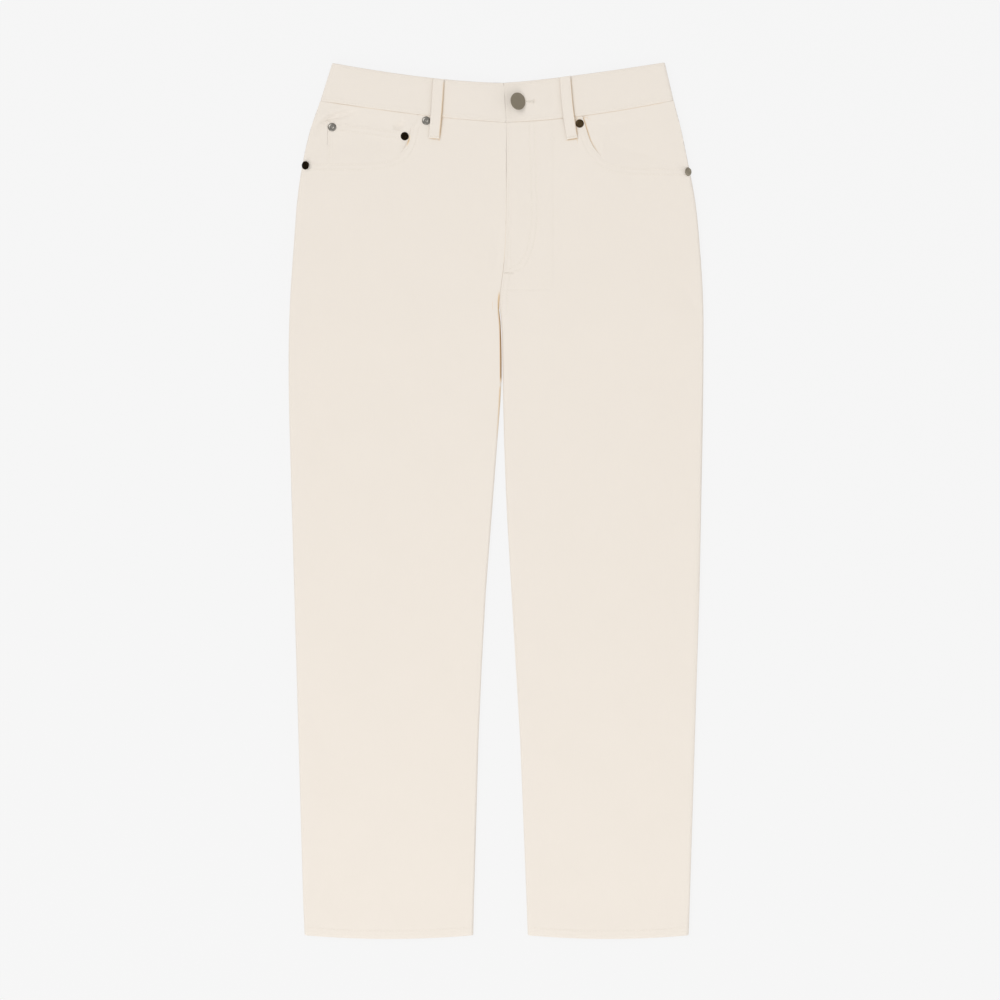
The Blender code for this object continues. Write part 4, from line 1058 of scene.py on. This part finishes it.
class JeansCloth(bpy.types.PropertyGroup):
    """Colours and sizes of the cloth"""
    colour: tint("Colour", "Raised threads of the ecru cotton", 0.815, 0.752, 0.679)
    # Painted shade: the shade colour darkens the grooves between the ribs, mixed with the slubs'
    # random tone
    shade: tint("Shade", "Deep threads and slubs of the cotton", 0.784, 0.721, 0.645)
    # Painted shade in the grooves along rows of stitches
    painted_seam_shade: tint("Seam shade", "Cotton in the grooves of a seam", 0.70, 0.62, 0.52)
    # Painted shade: a warm shade where two edges meet, and a darker one in the crotch gap
    painted_line_shade: tint("Line shade", "Warm cotton deep between two edges", 0.74, 0.55, 0.34)
    painted_gap_shade: tint("Deep shade", "Cotton in the gap under the crotch", 0.26, 0.115, 0.02)
    seam_mark: number("Seam marks", "How much of the seam shade shows along a row", 0.08, **SHARE)
    thread_pitch: number("Thread pitch", "Distance between warp threads", 0.42 * MM, **LENGTH)
    rib_pitch: number("Rib pitch", "Distance between the diagonal ribs", 0.95 * MM, **LENGTH)
    weave_depth: number("Weave depth", "Depth of the twill", 0.09 * MM, **LENGTH)
    seam_depth: number("Seam depth", "Depth that a row of stitches pulls the cloth in", 0.13 * MM,
                       **LENGTH)
    crease_scale: number("Creases", "Strength of creases and seam ridges", 1.0, min=0.0, max=2.0,
                         subtype="FACTOR")
    sheen: number("Nap", "Sheen of the cotton's short nap", 0.35, **SHARE)
    panel_grid: number("Panel grid", "Size of a leg panel's faces", 3.0 * MM, **LENGTH)
    trim_grid: number("Trim grid", "Size of the faces of pockets, bands and loops", 1.5 * MM,
                      **LENGTH)


class JeansSewing(bpy.types.PropertyGroup):
    """Thread and stitch length"""
    colour: tint("Thread colour", "Topstitching thread, tonal with the cloth", 0.88, 0.82, 0.74)
    pitch: number("Pitch", "From one stitch to the next", 3.2 * MM, **LENGTH)
    length: number("Length", "Length of one stitch", 2.7 * MM, **LENGTH)
    thread: number("Thread", "Thickness of the thread", 0.5 * MM, **LENGTH)


class JeansMetal(bpy.types.PropertyGroup):
    """Finish of the button, and the rivets' metal in tones that paint their reflections darker or
    paler
    """
    button: tint("Button", "Matte gunmetal of the button", 0.305, 0.268, 0.207)
    # Painted reflection: the rivets are one metal, and these tones paint how dark, brown or pale
    # each one's reflection shows
    dark: tint("Dark rivets", "Painted dark reflection of the darker rivets", 0.012, 0.008, 0.004)
    brown: tint("Brown rivet", "Painted brown reflection of one rivet", 0.075, 0.05, 0.025)
    pale: tint("Pale rivets", "Painted pale reflection of the lighter rivets", 0.275, 0.26, 0.235)
    roughness: number("Roughness", "Roughness of the metal", 0.42, min=0.05, max=1.0,
                      subtype="FACTOR")


class JeansStage(bpy.types.PropertyGroup):
    """Floor, lights and camera"""
    floor: tint("Floor", "Colour of the floor", 0.07, 0.07, 0.07)
    glow: number("Floor glow", "Light that the white floor sends up evenly", 0.845, min=0.0)
    sky: number("Fill", "Strength of the light from all round", 0.69, min=0.0)
    key: number("Key", "Strength of the soft light from the upper left", 0.85, min=0.0)
    key_tilt: number("Key tilt", "Angle of the key light from the vertical", math.radians(36.0),
                     **ANGLE)
    key_turn: number("Key turn", "Direction that the key light comes from, from +X",
                     math.radians(146.0), **ANGLE)
    key_softness: number("Key softness", "Angle that the key light fills", math.radians(35.0),
                         **ANGLE)
    low: number("Low light", "Strength of the low light from the lower right", 0.45, min=0.0)
    low_softness: number("Low softness", "Angle that the low light fills", math.radians(60.0),
                         **ANGLE)
    hem: number("Hem light", "Power of the broad light beyond the hems", 22.0, min=0.0,
                subtype="POWER")
    lens: number("Lens", "Focal length of the camera", 180.0, min=10.0,
                 subtype="DISTANCE_CAMERA")


# --- operators -------------------------------------------------------------------------

class JEANS_OT_stage(bpy.types.Operator):
    """Make the floor, the soft studio light and the camera straight above"""
    bl_idname = "jeans.stage"
    bl_label = "Studio"

    def execute(self, context):
        settings = context.scene.jeans_stage
        context.scene.view_settings.view_transform = "Standard"
        self.floor(settings)
        world = bpy.data.worlds.new("Studio")
        world.use_nodes = True
        back = world.node_tree.nodes["Background"]
        back.inputs["Color"].default_value = (1.0, 1.0, 1.0, 1.0)
        back.inputs["Strength"].default_value = settings.sky
        context.scene.world = world
        tilt, turn = settings.key_tilt, settings.key_turn
        towards = (math.sin(tilt) * math.cos(turn), math.sin(tilt) * math.sin(turn),
                   math.cos(tilt))
        self.light("SUN", "key_light", towards, 3.0, settings.key).angle = settings.key_softness
        self.light("SUN", "low_light", LOW_FROM, 3.0, settings.low).angle = settings.low_softness
        self.light("AREA", "hem_light", HEM_FROM, 1.0, settings.hem).size = 2.0
        middle_x, middle_y = ((500.0 - value) * MM_PER_PIXEL for value in PHOTO_ORIGIN)
        height = (CLOTH_LEVEL + settings.lens / SENSOR * PHOTO_SIZE * MM_PER_PIXEL) * MM
        bpy.ops.object.camera_add(location=(middle_x * MM, -middle_y * MM, height))
        camera = context.object
        camera.name = "photo_camera"
        camera.data.lens = settings.lens
        camera.data.sensor_width = SENSOR
        camera.data.dof.use_dof = False
        context.scene.camera = camera
        return {"FINISHED"}

    def light(self, kind, name, place, distance, energy):
        """Add a light at that multiple of a place, aimed at the origin."""
        bpy.ops.object.light_add(type=kind, location=Vector(place) * distance,
                                 rotation=Vector(place).to_track_quat("Z", "Y").to_euler())
        light = bpy.context.object
        light.name = name
        light.data.energy = energy
        return light.data

    def floor(self, settings):
        bpy.ops.object.select_all(action="DESELECT")
        bpy.ops.mesh.primitive_plane_add(size=12.0, location=(0.0, 0.0, -FLOOR_GAP * MM))
        floor = bpy.context.object
        floor.name = "studio_floor"
        bpy.ops.object.transform_apply(location=True, rotation=True, scale=True)
        material, nodes, shader = new_material("Studio floor")
        grain = nodes.add("ShaderNodeTexNoise", {"Vector": millimetres(nodes), "Scale": 0.02})
        nodes.set(shader, "Base Color", mix(nodes, grain.outputs[0], tuple(settings.floor),
                                            darker(settings.floor, 0.98)))
        shader.inputs["Emission Color"].default_value = (1.0, 1.0, 1.0, 1.0)
        shader.inputs["Emission Strength"].default_value = settings.glow
        shader.inputs["Roughness"].default_value = 1.0
        shader.inputs["Specular IOR Level"].default_value = 0.0
        floor.data.materials.append(material)


def make_cloths(grid, *nodes):
    """Make some cloth pieces with faces of that size."""
    paths = all_paths()
    for node in nodes:
        make_cloth(node, grid / MM, paths)


class JEANS_OT_panels(bpy.types.Operator):
    """Make the leg panels and the yokes"""
    bl_idname = "jeans.panels"
    bl_label = "Leg panels and yokes"

    def execute(self, context):
        settings = context.scene.jeans_cloth
        make_cloths(settings.panel_grid, "front_right", "front_left", "back_right", "back_left")
        make_cloths(settings.trim_grid, "yoke_right", "yoke_left")
        return {"FINISHED"}


class JEANS_OT_pockets(bpy.types.Operator):
    """Make the pocket facings, the watch pocket and the back pockets"""
    bl_idname = "jeans.pockets"
    bl_label = "Pockets"

    def execute(self, context):
        make_cloths(context.scene.jeans_cloth.trim_grid, "facing_right", "facing_left",
                    "watch_pocket", "back_pocket_right", "back_pocket_left")
        return {"FINISHED"}


class JEANS_OT_waistband(bpy.types.Operator):
    """Make the waistband and the belt loops"""
    bl_idname = "jeans.waistband"
    bl_label = "Waistband and loops"

    def execute(self, context):
        grid = context.scene.jeans_cloth.trim_grid
        make_cloths(grid, "waistband_right", "waistband_left", "waistband_back")
        make_cloths(0.5 * grid, *LOOPS)
        return {"FINISHED"}


class JEANS_OT_sewing(bpy.types.Operator):
    """Sew the topstitching, the bars and the buttonhole"""
    bl_idname = "jeans.sewing"
    bl_label = "Sewing"

    def execute(self, context):
        settings = context.scene.jeans_sewing
        pitch, length = settings.pitch / MM, settings.length / MM
        thread = settings.thread / MM
        paths = all_paths()
        sewing = Sewing()
        groups = (
            ("sewing_front", ("front_right", "front_left", "watch_pocket")),
            ("sewing_waistband", ("waistband_right", "waistband_left", "waistband_back")),
            ("sewing_seat", ("yoke_right", "yoke_left", "back_right", "back_left")),
            ("sewing_back_pockets", ("back_pocket_right", "back_pocket_left")),
        )
        for name, cloths in groups:
            for seam in SEAMS:
                if seam.cloth in cloths:
                    for distance in seam.rows:
                        sewing.row(seam.cloth, beside(paths[seam.path], distance), pitch, length,
                                   thread)
            for bar in BARS:
                if bar.cloth in cloths:
                    sewing.bar(bar, BAR_PITCH, BAR_WIDTH, thread)
            sewing.finish(name)
        for cloth, line in LOOPS.items():
            middle = smooth(line)
            for side in (-1.0, 1.0):
                row = beside(middle, side * (LOOP_HALF - LOOP_ROW))
                sewing.row(cloth, row, pitch, length, thread)
        for bar in BARS:
            if bar.cloth in LOOPS:
                sewing.bar(bar, BAR_PITCH, LOOP_BAR_WIDTH, LOOP_BAR_THREAD * thread)
        sewing.finish("sewing_loops")
        self.buttonhole(sewing, thread)
        return {"FINISHED"}

    def buttonhole(self, sewing, thread):
        """Close stitches over the lips of the slit and round the eye, and a bar at its end."""
        end, height = BUTTONHOLE
        eye_x, eye = BUTTONHOLE_EYE
        pitch, reach, lip = 0.5, 1.7, -0.3
        eye_from, eye_to, eye_lip, eye_reach = 0.45, 2.0 * math.pi - 0.4, 0.2, 1.2
        tack_gap, tack_length, tack_width = 0.9, 4.2, 1.5

        def over_edge(inner, outer):
            found = sewing.surface("waistband_left", *outer)
            if found is not None:
                place, normal = found
                first = Vector((inner[0] * MM, inner[1] * MM, place.z))
                sewing.lay(first, place, normal, thread, -0.1)

        for side in (-1.0, 1.0):
            for x in np.arange(eye_x + eye, end, pitch):
                over_edge((x, height + side * lip), (x, height + side * reach))
        middle = np.array((eye_x, height))
        for angle in np.arange(eye_from, eye_to, pitch / eye):
            ray = np.array((math.cos(angle), math.sin(angle)))
            over_edge(middle + ray * (eye - eye_lip), middle + ray * (eye + eye_reach))
        tack = Bar("waistband_left", end + tack_gap, height, 90.0, tack_length)
        sewing.bar(tack, pitch, tack_width, thread)
        sewing.finish("buttonhole_sewing")


def place_metal(piece, name, matrix, material, node):
    """Bring a finished metal piece to its place and let it stand for its node."""
    piece.data.transform(matrix)
    piece.name = piece.data.name = name
    piece.data.materials.clear()
    piece.data.materials.append(material)
    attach(piece, BODY)
    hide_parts(node)


def turned(radius, depth, sides, steps):
    """A disc on the XY plane; steps are (inset, rise) of its upper face, from the rim in."""
    bpy.ops.object.select_all(action="DESELECT")
    bpy.ops.mesh.primitive_cylinder_add(vertices=sides, radius=radius * MM, depth=depth * MM,
                                        location=(0.0, 0.0, 0.5 * depth * MM))
    disc = bpy.context.object
    bpy.ops.object.transform_apply(location=True, rotation=True, scale=True)
    bpy.ops.object.mode_set(mode="EDIT")
    bpy.ops.mesh.select_mode(type="FACE")
    bpy.ops.mesh.select_all(action="DESELECT")
    mesh = bmesh.from_edit_mesh(disc.data)
    for face in mesh.faces:
        face.select = face.normal.z > 0.9
    bmesh.update_edit_mesh(disc.data)
    for inset, rise in steps:
        bpy.ops.mesh.inset(thickness=inset * MM, depth=0.0)
        bpy.ops.transform.translate(value=(0.0, 0.0, rise * MM))
    bpy.ops.object.mode_set(mode="OBJECT")
    return disc


def soften(piece, width):
    """Round a metal piece's edges and give it smooth faces."""
    only(piece)
    edge = piece.modifiers.new("edge", "BEVEL")
    edge.width = width * MM
    edge.segments = 2
    edge.limit_method = "ANGLE"
    edge.angle_limit = math.radians(35.0)
    bpy.ops.object.modifier_apply(modifier=edge.name)
    bpy.ops.object.shade_smooth_by_angle(angle=math.radians(40.0))


class JEANS_OT_button(bpy.types.Operator):
    """Make the shank button"""
    bl_idname = "jeans.button"
    bl_label = "Button"

    def execute(self, context):
        settings = context.scene.jeans_metal
        cap = turned(BUTTON_RADIUS, BUTTON_DEPTH, 64, BUTTON_FACE)
        cap.data.transform(Matrix.Translation((0.0, 0.0, BUTTON_LEVEL * MM)))
        stem = turned(STEM_RADIUS, STEM_DEPTH, 32, ())
        collar = turned(COLLAR_RADIUS, COLLAR_DEPTH, 32, ((0.6, 0.2),))
        collar.data.transform(Matrix.Translation((0.0, 0.0, COLLAR_LEVEL * MM)))
        only(cap)
        for part in (stem, collar):
            part.select_set(True)
        bpy.ops.object.join()
        soften(cap, 0.18)
        turn = Euler((0.0, BUTTON_LEAN, BUTTON_TURN)).to_matrix().to_4x4()
        foot = Matrix.Translation([value * MM for value in BUTTON_FOOT])
        material = metal_material("Gunmetal", settings.button, settings.roughness + 0.2, 0.06)
        place_metal(cap, "button_cap", foot @ turn, material, "button")
        return {"FINISHED"}


class JEANS_OT_rivets(bpy.types.Operator):
    """Make the six rivets of the front and watch pockets"""
    bl_idname = "jeans.rivets"
    bl_label = "Rivets"

    def execute(self, context):
        settings = context.scene.jeans_metal
        # Painted reflection: the six rivets are one metal; the tones of these finishes paint each
        # rivet's reflection darker, browner or paler
        finishes = {
            "dark": metal_material("Painted dark reflection", settings.dark, settings.roughness, 0.3),
            "brown": metal_material("Painted brown reflection", settings.brown, settings.roughness, 0.3),
            "pale": metal_material("Painted pale reflection", settings.pale, settings.roughness - 0.14, 0.2),
            "grey": metal_material("Gunmetal rivet", settings.button, settings.roughness, 0.1),
        }
        rivets = (("rivet_right_waist", "pale"), ("rivet_right_side", "dark"),
                  ("rivet_left_waist", "brown"), ("rivet_left_side", "grey"),
                  ("rivet_watch_outer", "pale"), ("rivet_watch_inner", "dark"))
        for node, finish in rivets:
            rivet = turned(RIVET_RADIUS, 0.2, 48, RIVET_FACE)
            soften(rivet, 0.05)
            low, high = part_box(node)
            middle = (low + high) / 2
            tilt = math.radians(SIDE_LEAN.get(node, 0.0))
            foot = low.z + RIVET_RADIUS * MM * math.sin(abs(tilt))
            shift = 0.5 * RIVET_HEIGHT * MM * math.sin(tilt)
            place = Matrix.Translation((middle.x - shift, middle.y, foot))
            turn = Matrix.Rotation(tilt, 4, "Y")
            place_metal(rivet, node + "_metal", place @ turn, finishes[finish], node)
        return {"FINISHED"}


class JEANS_PT_panel(bpy.types.Panel):
    """Makes the jeans piece by piece"""
    bl_label = "Five-pocket jeans"
    bl_idname = "JEANS_PT_panel"
    bl_space_type = "VIEW_3D"
    bl_region_type = "UI"
    bl_category = "Jeans"

    def draw(self, context):
        for operator in OPERATORS:
            self.layout.operator(operator.bl_idname)
        for group in (context.scene.jeans_cloth, context.scene.jeans_sewing,
                      context.scene.jeans_metal, context.scene.jeans_stage):
            box = self.layout.box()
            for name in group.__annotations__:
                box.prop(group, name)


GROUPS = (("jeans_cloth", JeansCloth), ("jeans_sewing", JeansSewing),
          ("jeans_metal", JeansMetal), ("jeans_stage", JeansStage))
OPERATORS = (JEANS_OT_stage, JEANS_OT_panels, JEANS_OT_pockets, JEANS_OT_waistband,
             JEANS_OT_sewing, JEANS_OT_button, JEANS_OT_rivets)


def register():
    for name, group in GROUPS:
        bpy.utils.register_class(group)
        setattr(bpy.types.Scene, name, bpy.props.PointerProperty(type=group))
    for kind in OPERATORS + (JEANS_PT_panel,):
        bpy.utils.register_class(kind)


def unregister():
    for kind in reversed(OPERATORS + (JEANS_PT_panel,)):
        bpy.utils.unregister_class(kind)
    for name, group in reversed(GROUPS):
        delattr(bpy.types.Scene, name)
        bpy.utils.unregister_class(group)


def main():
    register()
    for operator in OPERATORS:
        area, name = operator.bl_idname.split(".")
        getattr(getattr(bpy.ops, area), name)()


if __name__ == "__main__":
    main()
